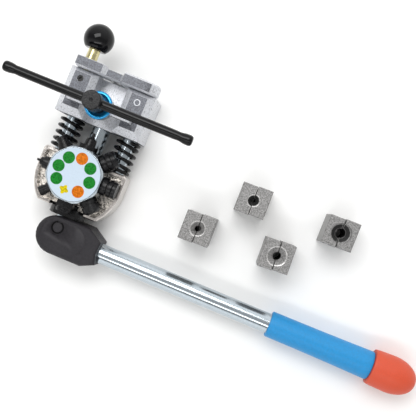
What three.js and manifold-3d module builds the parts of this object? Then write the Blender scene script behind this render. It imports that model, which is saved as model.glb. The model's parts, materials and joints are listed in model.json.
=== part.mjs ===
// Turret-type brake pipe flaring tool, lying on its back, with four loose split dies.
//
// Frame, in millimetres: +X runs along the lever handle, +Y runs up the tool from the cam
// lever to the ball knob, +Z points out of the tool's front. The origin is the centre of
// the yoke's flat back face, which is the face the tool lies on.
//
// How it works: the tension rod hangs from the yoke and carries the cam pin at its foot.
// Turning the lever rolls its eccentric head under the thrust ring, which lifts the
// carriage along the two guide columns against their springs. The carriage holds the
// turret, so the punch at the top of the turret enters the die in the yoke's channel.

import * as THREE from 'three';
import { mergeVertices } from 'three/addons/utils/BufferGeometryUtils.js';
import Module from 'manifold-3d';

const wasm = await Module();
wasm.setup();

// ---------------------------------------------------------------- driving dimensions

// Fits
const GAP = 0.3;              // between two pieces that sit against each other
const RUN = 0.3;              // radial running gap of a shaft, screw or column
const MERGE = 1;              // how far two shapes of one casting reach into each other
const PAST = 2;               // how far a cutter runs past the face it opens

// The plane of the columns, the tension rod and the handle
const AXIS_Z = 20;

// Loose dies
const DIE_WIDTH = 29;         // across the channel
const DIE_DEPTH = 30.6;       // over both halves, across the split
const DIE_LENGTH = 44;        // along the pipe
const DIE_SPLIT = 0.7;        // open gap between the halves
const DIE_SHIFT = 0.35;       // each half lies this far off the other's line
const DIE_CHAMFER = 0.7;

// Yoke
const YOKE_WIDTH = 88;
const YOKE_HEIGHT = 46;
const YOKE_DEPTH = 56;
const CHANNEL_FLOOR = 28;     // thickness of the wall behind the channel
const CHANNEL_PLAY = 0.5;     // die's side play in the channel
const BEVEL_DEPTH = 6;        // posts' front bevels: how deep, and how wide on each side
const BEVEL_SIDE = 6.3;
const BEVEL_TOP = 4;
const BEVEL_FOOT = 7.5;
const EDGE_CHAMFER = 2.4;     // yoke's upright outer edges

// Guide columns and springs
const COLUMN_SPACING = 61;
const COLUMN_RADIUS = 6.75;
const COLUMN_IN_YOKE = 41;
const COLUMN_IN_CARRIAGE = 30;
const SPRING_WIRE_RADIUS = 1.7;
const SPRING_COIL_RADIUS = 11;
const SPRING_TURNS = 4.75;
const SPRING_STEPS_PER_TURN = 16;

// Tension rod, its nut and the cam pin
const ROD_RADIUS = 9;
const ROD_FOOT_RADIUS = 10;
const STUD_RADIUS = 6;
const NUT_ACROSS_FLATS = 18;
const NUT_HEIGHT = 6;
const WASHER_THICKNESS = 1.5;
const ROD_WASHER_RADIUS = 9.5;
const PIN_RADIUS = 4.75;
const CLIP_WIRE = 1;
const CLIP_RADIUS = 6.3;

// Clamp bridge, screw, ring and tommy bar
const CLAMP_Y = -5.5;
const BRIDGE_HEIGHT = 9.4;
const BRIDGE_HALF_LENGTH = 32;
const BRIDGE_THICKNESS = 9.4;
const BRIDGE_BOSS_RADIUS = 11.5;
const PAD_RADIUS = 12.5;
const PAD_THICKNESS = 3;
const SCREW_RADIUS = 7;
const SCREW_SPIGOT_RADIUS = 4;
const RING_RADIUS = 13.4;
const RING_THICKNESS = 3.8;
const RING_DISH = 1.8;
const CLAMP_TRAVEL = 11.5;
const HUB_RADIUS = 9;
const HUB_LENGTH = 21;
const BAR_RADIUS = 4.3;
const BAR_LENGTH = 186;
const BAR_OFFSET = 4.2;       // how far the bar lies slid through the hub
const BAR_END_RADIUS = 5.1;
const BAR_END_LENGTH = 12;

// Die gate, its pivot and its lock
const GATE_BACK = 31;
const GATE_FRONT = 59.5;
const GATE_LEFT_END = 40;     // from the middle to the left end
const GATE_BLOCK_INNER = 11;  // from the middle to where the blocks stop
const GATE_HEIGHT_LEFT = 10.3;
const GATE_HEIGHT_RIGHT = 11.4;
const GATE_HEIGHT_BAR = 8;
const GATE_BAR_RECESS = 4;    // bar's front face behind the blocks' front faces
const GATE_BAR_SLOPE = 5;
const GATE_CHAMFER = 1.6;
const PIPE_SLOT_WIDTH = 13;
const GATE_AXIS_Z = 45;       // of the pivot bolt and of the lock screw
const PIVOT_RADIUS = 5;
const PIVOT_THREAD_RADIUS = 4;
const PIVOT_THREAD_LENGTH = 18;
const PIVOT_HEAD_RADIUS = 8;
const PIVOT_HEAD_HEIGHT = 4;
const LOCK_THREAD_RADIUS = 4.8;
const LOCK_THREAD_LENGTH = 18;
const LOCK_STEM_RADIUS = 5.8;
const LOCK_STEM_LENGTH = 14;
const LOCK_WASHER_RADIUS = 7.2;
const LOCK_WASHER_THICKNESS = 1;
const BALL_RADIUS = 15;
const BALL_SEAT = 11;         // from the ball's centre down to its flat mouth
const GRUB_RADIUS = 3;
const GRUB_LENGTH = 5;
const STOP_SCREW_Y = 13;
const COLUMN_SCREW_Y = 8;
const HEX_SOCKET = 1.5;       // socket's radius in each grub screw
const SOCKET_DEPTH = 2;

// Carriage
const CARRIAGE_TOP = -58;
const CARRIAGE_HALF_WIDTH = 44;
const CARRIAGE_SHOULDER = 22; // straight flank below the top
const CARRIAGE_HEIGHT = 53.4;
const CARRIAGE_BACK = 1;
const CARRIAGE_RIM = 34;      // front of the rim
const CARRIAGE_FLOOR = 28;    // floor of the front pocket
const CARRIAGE_CORNER = 4;
const RIM_WIDTH = 3.2;
const AXLE_BOSS_RADIUS = 20;
const AXLE_BOSS_TOP = 31.5;
const AXLE_BOSS_HALF = 13;    // boss and flange are cut flat above and below the axle
const COLUMN_END_ROOM = 10;   // room under each column for the carriage's travel

// Thrust ring under the carriage
const THRUST_RADIUS = 18;
const THRUST_HALF_DEPTH = 14; // ring is cut flat front and back, inside the carriage
const THRUST_SPIGOT_RADIUS = 12.5;
const THRUST_SPIGOT_LENGTH = 4;
const THRUST_SUNK = 3.2;       // of the ring's thickness sits in a notch in the carriage's foot
const THRUST_PROUD = 6.5;     // and this much stands below the foot

// Turret, its axle and its detent
const TURRET_Y = -74.8;
const TURRET_ACROSS_FLATS = 53.4;
const TURRET_CORNER_RADIUS = 27.9;
const TURRET_FRONT = 59.5;
const TURRET_CHAMFER = 1.4;
const PUNCH_COUNT = 8;
const PUNCH_Z = 44;
const AXLE_FLANGE_RADIUS = 18;
const AXLE_FLANGE_THICKNESS = 3;
const AXLE_RADIUS = 6;
const AXLE_SCREW_OFFSET = 14;
const AXLE_SCREW_RADIUS = 2;
const AXLE_SCREW_LENGTH = 12;
const AXLE_SCREW_HEAD_RADIUS = 3.3;
const AXLE_SCREW_HEAD_HEIGHT = 2;
const END_RECESS_RADIUS = 11;
const END_RECESS_DEPTH = 4.2;
const END_WASHER_RADIUS = 10;
const END_WASHER_THICKNESS = 1.2;
const END_SCREW_RADIUS = 3;
const END_SCREW_LENGTH = 12;
const END_SCREW_HEAD_RADIUS = 5;
const END_SCREW_HEAD_HEIGHT = 1.8;
const LABEL_RADIUS = 25.7;
const LABEL_THICKNESS = 0.6;
const SHANK_RADIUS = 4;
const SHANK_LENGTH = 11;
const DETENT_RADIUS = 23;     // from the turret's axis
const DETENT_TURN = -Math.PI / 4;
const DETENT_BALL_RADIUS = 2.5;
const DETENT_PILLAR_RADIUS = 4.6;
const DETENT_SPRING_LENGTH = 7;
const DETENT_SPRING_WIRE = 0.4;
const DIMPLE_DEPTH = 1;

// Cam lever, handle, grip and cap
const CAM_RADIUS = 19.3;
const CAM_OFFSET = 7.8;       // eccentric's centre below the pin
const HEAD_THICKNESS = 37;
const HEAD_TOP_LENGTH = 30;   // flat top, from the pin
const HEAD_FOOT_LENGTH = 34;  // flat foot, from the pin
const HEAD_MOUTH = [[47.5, -20.8], [44.6, -10], [45.5, 2]];  // hollowed end round the tube
const HEAD_CHAMFER = 1.6;
const SLOT_PLAY = 0.8;        // rod's play in the head's slot
const HANDLE_OFFSET = 9.6;    // handle's axis below the pin
const TUBE_RADIUS = 10;
const TUBE_WALL = 2.5;
const TUBE_START = 20;
const TUBE_END = 369;
const GRIP_START = 229;
const GRIP_END = 337.3;
const GRIP_START_RADIUS = 13.1;
const GRIP_END_RADIUS = 14.4;
const CAP_END = 384.6;
const CAP_START_RADIUS = 17.6;
const CAP_RADIUS = 18.6;
const HANDLE_PIN_X = 34;
const HANDLE_PIN_RADIUS = 2.5;
const HANDLE_PIN_LENGTH = 30;

// Facets round a circle
const FINE = 36;
const ROUND = 24;
const SMALL = 16;
const TINY = 10;
const ARC = 7;                // on each arc of an outline, for every half segment

// The punches, anticlockwise from the one at the top. Radii and lengths outward from the
// turret's flat: a flange, then steps of [radius at the start, radius at the end, length].
const PUNCHES = [
  { name: 'punch_1_flare', flange: [9.4, 4.2], steps: [[5.8, 5.2, 6.5], [4.2, 2.2, 2.2], [1.7, 1.3, 4.2]] },
  { name: 'punch_2_bubble', flange: [7.4, 4], steps: [[6.6, 6.6, 3.4], [5.4, 5.4, 4], [6, 5.4, 2.4]] },
  { name: 'punch_3_small', flange: [7.6, 3.6], steps: [[6.2, 6.2, 4.6], [4.6, 4, 3.6], [1.5, 1.1, 4]] },
  { name: 'punch_4_reducer', flange: [5.4, 3.6], steps: [[4.4, 4.4, 4.4], [5, 5, 5]] },
  { name: 'punch_5_hex', sides: 6, flange: [9.3, 6.2], steps: [[7.4, 7.4, 2.6], [8.2, 7.2, 2.6]] },
  { name: 'punch_6_wide', flange: [8.8, 4], steps: [[7.6, 7.6, 2], [9, 9, 5.4], [8.2, 6, 1.8]] },
  { name: 'punch_7_grooved', flange: [9.3, 5], steps: [[6.6, 6.6, 1.8], [9, 9, 3.2], [6.8, 6.8, 1.2], [8.6, 8.2, 3.4]] },
  { name: 'punch_8_stepped', flange: [9.2, 4.4], steps: [[6.8, 6.8, 1.6], [9, 9, 3.6], [7, 7, 1.2], [8.8, 8, 3.6]] },
];

// The dies: middle of the standing block, its turn, pipe bore, and the mouth that the
// punch enters: its radius, straight depth and the depth of the cone below it.
const DIES = [
  { name: 'die_a', x: 128.4, y: -78.2, turn: 0.02, bore: 3, mouth: 8.1, straight: 1.2, cone: 5 },
  { name: 'die_b', x: 168.4, y: -32.4, turn: 0.02, bore: 2.375, mouth: 6.6, straight: 2.4, cone: 3.6 },
  { name: 'die_c', x: 209.7, y: -73.5, turn: 0.045, bore: 4, mouth: 10.2, straight: 1, cone: 4.4 },
  { name: 'die_d', x: 258.3, y: -29.6, turn: 0.01, bore: 5, mouth: 10.2, straight: 3.4, cone: 3 },
];

// ---------------------------------------------------------------- derived dimensions

const YOKE_TOP = YOKE_HEIGHT / 2;
const YOKE_FOOT = -YOKE_HEIGHT / 2;
const CHANNEL_HALF = DIE_WIDTH / 2 + CHANNEL_PLAY;
const COLUMN_X = COLUMN_SPACING / 2;
const CARRIAGE_FOOT = CARRIAGE_TOP - CARRIAGE_HEIGHT;
const THRUST_TOP = CARRIAGE_FOOT - GAP + THRUST_SUNK;
const HEAD_LENGTH = HEAD_MOUTH[0][0];
const THRUST_FOOT = CARRIAGE_FOOT - GAP - THRUST_PROUD;
const PIN_Y = THRUST_FOOT - GAP - (CAM_RADIUS - CAM_OFFSET);
const HEAD_BACK = AXIS_Z - HEAD_THICKNESS / 2;
const HEAD_FRONT = AXIS_Z + HEAD_THICKNESS / 2;
const HANDLE_Y = PIN_Y - HANDLE_OFFSET;
const DIE_FRONT = CHANNEL_FLOOR + GAP + DIE_DEPTH;
const PAD_BACK = DIE_FRONT + GAP;
const PAD_FRONT = PAD_BACK + PAD_THICKNESS;
const BRIDGE_BACK = PAD_FRONT + GAP;
const BRIDGE_FRONT = BRIDGE_BACK + BRIDGE_THICKNESS;
const RING_BACK = BRIDGE_FRONT + GAP;
const RING_FRONT = RING_BACK + RING_THICKNESS;
const HUB_BACK = RING_FRONT + GAP + CLAMP_TRAVEL;
const BAR_Z = HUB_BACK + HUB_LENGTH / 2;
const GATE_FOOT = YOKE_TOP + GAP;
const LOCK_WASHER_FOOT = GATE_FOOT + GATE_HEIGHT_LEFT + GAP;
const LOCK_STEM_FOOT = LOCK_WASHER_FOOT + LOCK_WASHER_THICKNESS + GAP;
const BALL_Y = LOCK_STEM_FOOT + LOCK_STEM_LENGTH - 4 + BALL_SEAT - GAP;
const TURRET_FLAT = TURRET_ACROSS_FLATS / 2;
const TURRET_BACK = AXLE_BOSS_TOP + GAP + AXLE_FLANGE_THICKNESS + GAP;
const RECESS_FLOOR = TURRET_FRONT - END_RECESS_DEPTH;
const AXLE_TOP = RECESS_FLOOR + GAP;

// ---------------------------------------------------------------- solids

/** A closed geometry as a solid that can be joined and cut. */
function solid(geometry) {
  const bare = geometry.clone();
  bare.deleteAttribute('normal');
  bare.deleteAttribute('uv');
  const merged = mergeVertices(bare);
  return new wasm.Manifold(new wasm.Mesh({
    numProp: 3,
    vertProperties: Float32Array.from(merged.attributes.position.array),
    triVerts: Uint32Array.from(merged.index.array),
  }));
}

/** A solid as a geometry with flat faces. */
function geometryOf(shape) {
  const mesh = shape.getMesh();
  const geometry = new THREE.BufferGeometry();
  geometry.setAttribute('position', new THREE.BufferAttribute(mesh.vertProperties, 3));
  geometry.setIndex(new THREE.BufferAttribute(mesh.triVerts, 1));
  geometry.computeVertexNormals();
  return geometry;
}

/** The first shape with the others cut out of it. */
function cut(shape, ...cutters) {
  return cutters.reduce((rest, cutter) => rest.subtract(cutter), shape);
}

/** All the shapes joined into one. */
function join(shape, ...others) {
  return others.reduce((whole, other) => whole.add(other), shape);
}

/** A block between two corners. */
function block(x0, x1, y0, y1, z0, z1) {
  const box = new THREE.BoxGeometry(x1 - x0, y1 - y0, z1 - z0);
  return solid(box.translate((x0 + x1) / 2, (y0 + y1) / 2, (z0 + z1) / 2));
}

/** A block whose front face is drawn in by a different amount on each side. */
function bevelledBlock(x0, x1, y0, y1, z0, z1, inset) {
  const box = new THREE.BoxGeometry(1, 1, 1);
  const corners = box.attributes.position;
  for (let i = 0; i < corners.count; i += 1) {
    const front = corners.getZ(i) > 0;
    const left = x0 + (front ? inset.left : 0);
    const right = x1 - (front ? inset.right : 0);
    const foot = y0 + (front ? inset.foot : 0);
    const top = y1 - (front ? inset.top : 0);
    corners.setX(i, corners.getX(i) > 0 ? right : left);
    corners.setY(i, corners.getY(i) > 0 ? top : foot);
    corners.setZ(i, front ? z1 : z0);
  }
  return solid(box);
}

/** A cone or cylinder along +Y, +X or +Z from one place to another on its axis. */
function taperGeometry(axis, r0, r1, from, to, sides) {
  const geometry = new THREE.CylinderGeometry(r1, r0, to - from, sides);
  geometry.translate(0, (from + to) / 2, 0);
  if (axis === 'x') geometry.rotateZ(-Math.PI / 2);
  if (axis === 'z') geometry.rotateX(Math.PI / 2);
  return geometry;
}

function barX(radius, x0, x1, y, z, sides = ROUND) {
  return solid(taperGeometry('x', radius, radius, x0, x1, sides).translate(0, y, z));
}

function barY(radius, x, y0, y1, z, sides = ROUND) {
  return solid(taperGeometry('y', radius, radius, y0, y1, sides).translate(x, 0, z));
}

function barZ(radius, x, y, z0, z1, sides = ROUND) {
  return solid(taperGeometry('z', radius, radius, z0, z1, sides).translate(x, y, 0));
}

/** A turned piece about its own +Y axis, from [radius, height] points. */
function turned(points, sides = ROUND) {
  return new THREE.LatheGeometry(points.map(([r, h]) => new THREE.Vector2(r, h)), sides);
}

/** A flat outline in X and Y pulled up from z0 to z1, with an optional edge chamfer. */
function plate(shape, z0, z1, chamfer = 0, arc = ARC) {
  const geometry = new THREE.ExtrudeGeometry(shape, {
    depth: z1 - z0 - 2 * chamfer,
    bevelEnabled: chamfer > 0,
    bevelSize: chamfer,
    bevelOffset: -chamfer,
    bevelThickness: chamfer,
    bevelSegments: 1,
    curveSegments: arc,
  });
  return solid(geometry.translate(0, 0, z0 + chamfer));
}

/** A coil along +Y, from the middle of its first wire to the middle of its last. */
class Coil extends THREE.Curve {
  constructor(radius, length, turns) {
    super();
    this.radius = radius;
    this.length = length;
    this.turns = turns;
  }

  getPoint(t) {
    const angle = t * this.turns * 2 * Math.PI;
    const x = this.radius * Math.cos(angle);
    const z = this.radius * Math.sin(angle);
    return new THREE.Vector3(x, t * this.length, z);
  }
}

function coilGeometry(radius, wire, length, turns, stepsPerTurn, sides) {
  const section = new THREE.Shape();
  section.absarc(0, 0, wire, 0, 2 * Math.PI, false);
  return new THREE.ExtrudeGeometry(section, {
    steps: Math.round(turns * stepsPerTurn),
    curveSegments: sides / 2,
    extrudePath: new Coil(radius, length, turns),
  });
}

/** Adds one named piece to a group. */
function addPiece(group, name, shape, material) {
  const geometry = shape.isBufferGeometry ? shape : geometryOf(shape);
  const mesh = new THREE.Mesh(geometry, material);
  mesh.name = name;
  group.add(mesh);
  return mesh;
}

function finish(color, roughness, metalness) {
  return new THREE.MeshStandardMaterial({ color, roughness, metalness });
}

const CAST = finish(0xa9abad, 0.55, 0.9);
const POLISHED_CAST = finish(0xb4aeab, 0.3, 0.9);
const CHROME = finish(0xc9ccd0, 0.15, 1);
const STEEL = finish(0x9a9c9e, 0.35, 1);
const BLACK_STEEL = finish(0x1d1d1f, 0.45, 0.7);
const YELLOW_ZINC = finish(0xb8a35a, 0.3, 0.9);
const BLACK_PLASTIC = finish(0x15161a, 0.12, 0);
const BLUE_ANODISED = finish(0x0a8fc4, 0.3, 0.8);
const HEAD_PAINT = finish(0x39373a, 0.6, 0.2);
const BLUE_GRIP = finish(0x2f9bd8, 0.55, 0);
const ORANGE_CAP = finish(0xe8613a, 0.5, 0);
const LABEL = finish(0xe6eef7, 0.3, 0);
const DIE_STEEL = finish(0x8b8a88, 0.5, 0.8);

// ---------------------------------------------------------------- yoke

function post(x0, x1) {
  const inset = { left: BEVEL_SIDE, right: BEVEL_SIDE, foot: BEVEL_FOOT, top: BEVEL_TOP };
  const edge = YOKE_DEPTH - BEVEL_DEPTH;
  const stem = block(x0, x1, YOKE_FOOT, YOKE_TOP, 0, edge);
  return stem.add(bevelledBlock(x0, x1, YOKE_FOOT, YOKE_TOP, edge, YOKE_DEPTH, inset));
}

/** Bridge over the channel's front, with the boss the clamp screw is threaded through. */
function clampBridge() {
  const y0 = CLAMP_Y - BRIDGE_HEIGHT / 2;
  const y1 = CLAMP_Y + BRIDGE_HEIGHT / 2;
  const length = BRIDGE_HALF_LENGTH;
  const beam = block(-length, length, y0, y1, YOKE_DEPTH - MERGE, BRIDGE_FRONT);
  const half = CHANNEL_HALF;
  const throat = block(-half, half, y0 - PAST, y1 + PAST, YOKE_DEPTH - PAST, BRIDGE_BACK);
  const boss = barZ(BRIDGE_BOSS_RADIUS, 0, CLAMP_Y, BRIDGE_BACK, BRIDGE_FRONT);
  return beam.subtract(throat).add(boss);
}

/** Cutters for the upright outer edges of the yoke's back wall and posts. */
function edgeCutters() {
  const side = Math.SQRT2 * EDGE_CHAMFER;
  return [-1, 1].map((hand) => {
    const bar = new THREE.BoxGeometry(side, YOKE_HEIGHT + 2 * PAST, side).rotateY(Math.PI / 4);
    return solid(bar.translate(hand * YOKE_WIDTH / 2, 0, 0));
  });
}

function yokeHoles() {
  const columnTop = YOKE_FOOT + COLUMN_IN_YOKE + GAP;
  const holes = [-1, 1].flatMap((hand) => [
    barY(COLUMN_RADIUS + RUN, hand * COLUMN_X, YOKE_FOOT - PAST, columnTop, AXIS_Z),
    barZ(GRUB_RADIUS + RUN, hand * COLUMN_X, COLUMN_SCREW_Y, -PAST, AXIS_Z, SMALL),
  ]);
  const stopFrom = GATE_AXIS_Z + LOCK_THREAD_RADIUS - MERGE;
  const pivotFoot = YOKE_TOP - PIVOT_THREAD_LENGTH - GAP;
  const lockFoot = YOKE_TOP - LOCK_THREAD_LENGTH - GAP;
  return [
    ...holes,
    barY(STUD_RADIUS + RUN, 0, YOKE_FOOT - PAST, YOKE_TOP + PAST, AXIS_Z),
    barZ(SCREW_RADIUS + RUN, 0, CLAMP_Y, BRIDGE_BACK - PAST, BRIDGE_FRONT + PAST),
    barZ(GRUB_RADIUS + RUN, -COLUMN_X, STOP_SCREW_Y, stopFrom, YOKE_DEPTH + PAST, SMALL),
    barY(PIVOT_THREAD_RADIUS + RUN, COLUMN_X, pivotFoot, YOKE_TOP + PAST, GATE_AXIS_Z, SMALL),
    barY(LOCK_THREAD_RADIUS + RUN, -COLUMN_X, lockFoot, YOKE_TOP + PAST, GATE_AXIS_Z, SMALL),
  ];
}

function yokeBody() {
  const half = YOKE_WIDTH / 2;
  const wall = block(-half, half, YOKE_FOOT, YOKE_TOP, 0, CHANNEL_FLOOR);
  const left = post(-half, -CHANNEL_HALF);
  const right = post(CHANNEL_HALF, half);
  return cut(join(wall, left, right, clampBridge()), ...edgeCutters(), ...yokeHoles());
}

// ---------------------------------------------------------------- columns, rod and springs

function guideColumn(x) {
  const top = YOKE_FOOT + COLUMN_IN_YOKE;
  return barY(COLUMN_RADIUS, x, CARRIAGE_TOP - COLUMN_IN_CARRIAGE, top, AXIS_Z);
}

function returnSpring(x) {
  const foot = CARRIAGE_TOP + GAP + SPRING_WIRE_RADIUS;
  const top = YOKE_FOOT - GAP - SPRING_WIRE_RADIUS;
  const coil = coilGeometry(SPRING_COIL_RADIUS, SPRING_WIRE_RADIUS, top - foot, SPRING_TURNS,
    SPRING_STEPS_PER_TURN, 6);
  return solid(coil.translate(x, foot, AXIS_Z));
}

/** Rod with a rounded foot round the cam pin and a thinner stud up through the yoke. */
function tensionRod() {
  const studTop = YOKE_TOP + GAP + WASHER_THICKNESS + GAP + NUT_HEIGHT + 1;
  const shaft = barY(ROD_RADIUS, 0, PIN_Y, YOKE_FOOT - GAP, AXIS_Z);
  const stud = barY(STUD_RADIUS, 0, YOKE_FOOT - PAST, studTop, AXIS_Z);
  const back = AXIS_Z - ROD_RADIUS;
  const foot = barZ(ROD_FOOT_RADIUS, 0, PIN_Y, back, AXIS_Z + ROD_RADIUS);
  const eye = barZ(PIN_RADIUS + RUN, 0, PIN_Y, back - PAST, AXIS_Z + ROD_RADIUS + PAST);
  return cut(join(shaft, stud, foot), eye);
}

function rodWasher() {
  const foot = YOKE_TOP + GAP;
  const top = foot + WASHER_THICKNESS;
  const disc = barY(ROD_WASHER_RADIUS, 0, foot, top, AXIS_Z);
  return cut(disc, barY(STUD_RADIUS + RUN, 0, foot - PAST, top + PAST, AXIS_Z));
}

function rodNut() {
  const foot = YOKE_TOP + GAP + WASHER_THICKNESS + GAP;
  const corner = NUT_ACROSS_FLATS / Math.sqrt(3);
  const hexagon = taperGeometry('y', corner, corner, foot, foot + NUT_HEIGHT, 6);
  const nut = solid(hexagon.rotateY(Math.PI / 6).translate(0, 0, AXIS_Z));
  return cut(nut, barY(STUD_RADIUS + RUN, 0, foot - PAST, foot + NUT_HEIGHT + PAST, AXIS_Z));
}

function grubScrew(x, y, z0, z1, socketAtFront) {
  const body = barZ(GRUB_RADIUS, x, y, z0, z1, SMALL);
  const from = socketAtFront ? z1 - SOCKET_DEPTH : z0 - PAST;
  const to = socketAtFront ? z1 + PAST : z0 + SOCKET_DEPTH;
  return cut(body, barZ(HEX_SOCKET, x, y, from, to, 6));
}

function columnScrew(x) {
  const tip = AXIS_Z - COLUMN_RADIUS - GAP;
  return grubScrew(x, COLUMN_SCREW_Y, tip - GRUB_LENGTH, tip, false);
}

function lockStopScrew() {
  const tip = GATE_AXIS_Z + LOCK_THREAD_RADIUS + GAP;
  return grubScrew(-COLUMN_X, STOP_SCREW_Y, tip, tip + GRUB_LENGTH - 1, true);
}

// ---------------------------------------------------------------- clamp

/** Domed ring with a dished front face. */
function clampRing() {
  const bore = SCREW_RADIUS + RUN;
  const edge = RING_THICKNESS - 1.2;
  const ring = turned([
    [bore, 0],
    [RING_RADIUS - 0.6, 0],
    [RING_RADIUS, 0.8],
    [RING_RADIUS, edge],
    [RING_RADIUS - 0.7, RING_THICKNESS - 0.5],
    [RING_RADIUS - 2, RING_THICKNESS],
    [RING_RADIUS - 3.4, RING_THICKNESS - 0.4],
    [RING_RADIUS - 4.2, RING_THICKNESS - 1.4],
    [bore, RING_THICKNESS - RING_DISH],
    [bore, 0],
  ], FINE);
  return solid(ring.rotateX(Math.PI / 2).translate(0, CLAMP_Y, RING_BACK));
}

function clampPad() {
  const disc = barZ(PAD_RADIUS, 0, CLAMP_Y, PAD_BACK, PAD_FRONT);
  const socket = SCREW_SPIGOT_RADIUS + RUN;
  return cut(disc, barZ(socket, 0, CLAMP_Y, PAD_BACK + 1, PAD_FRONT + PAST, SMALL));
}

/** Screw with a spigot in the pad and a drilled hub for the tommy bar. */
function clampScrew() {
  const spigot = barZ(SCREW_SPIGOT_RADIUS, 0, CLAMP_Y, PAD_BACK + 1 + GAP, BRIDGE_BACK + 1, SMALL);
  const thread = barZ(SCREW_RADIUS, 0, CLAMP_Y, PAD_FRONT + GAP, HUB_BACK + MERGE);
  const length = HUB_LENGTH;
  const hub = turned([
    [0, 0],
    [HUB_RADIUS - 1, 0],
    [HUB_RADIUS, 1],
    [HUB_RADIUS, length - 0.8],
    [HUB_RADIUS - 0.8, length],
    [1.6, length],
    [0, length - 1.4],
  ], ROUND);
  const placed = solid(hub.rotateX(Math.PI / 2).translate(0, CLAMP_Y, HUB_BACK));
  const eye = barX(BAR_RADIUS + RUN, -HUB_RADIUS - PAST, HUB_RADIUS + PAST, CLAMP_Y, BAR_Z, SMALL);
  return cut(join(spigot, thread, placed), eye);
}

/** Bar with a swaged bulb at each end, a little thicker than the bar. */
function tommyBar() {
  const half = BAR_LENGTH / 2;
  const neck = half - BAR_END_LENGTH;
  const profile = [
    [0, -half],
    [BAR_END_RADIUS - 2, -half],
    [BAR_END_RADIUS - 0.5, -half + 1.2],
    [BAR_END_RADIUS, -half + 3],
    [BAR_END_RADIUS - 0.3, -neck - 2],
    [BAR_RADIUS, -neck],
  ];
  const mirrored = profile.map(([r, h]) => [r, -h]).reverse();
  const bar = turned([...profile, ...mirrored], SMALL);
  return solid(bar.rotateZ(-Math.PI / 2).translate(BAR_OFFSET, CLAMP_Y, BAR_Z));
}

// ---------------------------------------------------------------- gate and lock

/** The gate as seen along -Y: its outline lies in X and in -Z. */
function gateOutline() {
  const barFront = GATE_FRONT - GATE_BAR_RECESS;
  const endRadius = (GATE_FRONT - GATE_BACK) / 2;
  const shape = new THREE.Shape();
  shape.moveTo(-GATE_LEFT_END, -GATE_FRONT);
  shape.lineTo(-GATE_BLOCK_INNER - GATE_BAR_SLOPE / 2, -GATE_FRONT);
  shape.lineTo(-GATE_BLOCK_INNER + GATE_BAR_SLOPE / 2, -barFront);
  shape.lineTo(GATE_BLOCK_INNER - GATE_BAR_SLOPE, -barFront);
  shape.lineTo(GATE_BLOCK_INNER - GATE_BAR_SLOPE / 2, -GATE_FRONT);
  shape.lineTo(COLUMN_X, -GATE_FRONT);
  shape.absarc(COLUMN_X, -(GATE_FRONT + GATE_BACK) / 2, endRadius, -Math.PI / 2, Math.PI / 2, false);
  shape.lineTo(-GATE_LEFT_END, -GATE_BACK);
  shape.closePath();
  return shape;
}

/** A plate lying in X and Z, from a shape drawn in X and -Z, between two heights. */
function layer(shape, y0, y1, chamfer = 0) {
  return plate(shape, y0, y1, chamfer).rotate([-90, 0, 0]);
}

/** Slot that lets the lock screw out of the gate's back as the gate swings forward. */
function lockSlot(y0, y1) {
  const reach = 2 * COLUMN_X;
  const half = LOCK_THREAD_RADIUS + 2 * RUN;
  const sweep = Math.asin((GATE_AXIS_Z - GATE_BACK + PAST + half) / reach);
  const band = new THREE.Shape();
  band.absarc(COLUMN_X, -GATE_AXIS_Z, reach + half, Math.PI, Math.PI - sweep, true);
  band.absarc(COLUMN_X, -GATE_AXIS_Z, reach - half, Math.PI - sweep, Math.PI, false);
  band.closePath();
  return layer(band, y0, y1).add(barY(half, -COLUMN_X, y0, y1, GATE_AXIS_Z, SMALL));
}

function dieGate() {
  const top = GATE_FOOT + GATE_HEIGHT_RIGHT;
  const body = layer(gateOutline(), GATE_FOOT, top, GATE_CHAMFER);
  const inner = GATE_BLOCK_INNER;
  const barTop = GATE_FOOT + GATE_HEIGHT_BAR;
  const leftTop = GATE_FOOT + GATE_HEIGHT_LEFT;
  const z0 = GATE_BACK - PAST;
  const z1 = GATE_FRONT + PAST;
  const overBar = block(-inner, inner - GATE_BAR_SLOPE / 2, barTop, top + PAST, z0, z1);
  const overLeft = block(-GATE_LEFT_END - PAST, -inner + MERGE, leftTop, top + PAST, z0, z1);
  const slotHalf = PIPE_SLOT_WIDTH / 2;
  const pipeZ = CHANNEL_FLOOR + GAP + DIE_DEPTH / 2;
  const pipeSlot = join(
    block(-slotHalf, slotHalf, GATE_FOOT - PAST, top + PAST, z0, pipeZ),
    barY(slotHalf, 0, GATE_FOOT - PAST, top + PAST, pipeZ),
  );
  const pivot = barY(PIVOT_RADIUS + RUN, COLUMN_X, GATE_FOOT - PAST, top + PAST, GATE_AXIS_Z);
  const seat = top - PIVOT_HEAD_HEIGHT - GAP;
  const headRoom = barY(PIVOT_HEAD_RADIUS + RUN, COLUMN_X, seat, top + PAST, GATE_AXIS_Z);
  const slot = lockSlot(GATE_FOOT - PAST, top + PAST);
  return cut(body, overBar, overLeft, pipeSlot, pivot, headRoom, slot);
}

/** Shoulder bolt, its head sunk in the gate. */
function gatePivotBolt() {
  const top = GATE_FOOT + GATE_HEIGHT_RIGHT - GAP;
  const seat = top - PIVOT_HEAD_HEIGHT + GAP;
  const head = barY(PIVOT_HEAD_RADIUS, COLUMN_X, seat, top, GATE_AXIS_Z);
  const shoulder = barY(PIVOT_RADIUS, COLUMN_X, YOKE_TOP + GAP, seat + MERGE, GATE_AXIS_Z);
  const foot = YOKE_TOP - PIVOT_THREAD_LENGTH;
  const thread = barY(PIVOT_THREAD_RADIUS, COLUMN_X, foot, YOKE_TOP + MERGE, GATE_AXIS_Z, SMALL);
  const socket = barY(PIVOT_THREAD_RADIUS, COLUMN_X, top - 2.4, top + PAST, GATE_AXIS_Z, 6);
  return cut(join(head, shoulder, thread), socket);
}

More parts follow.
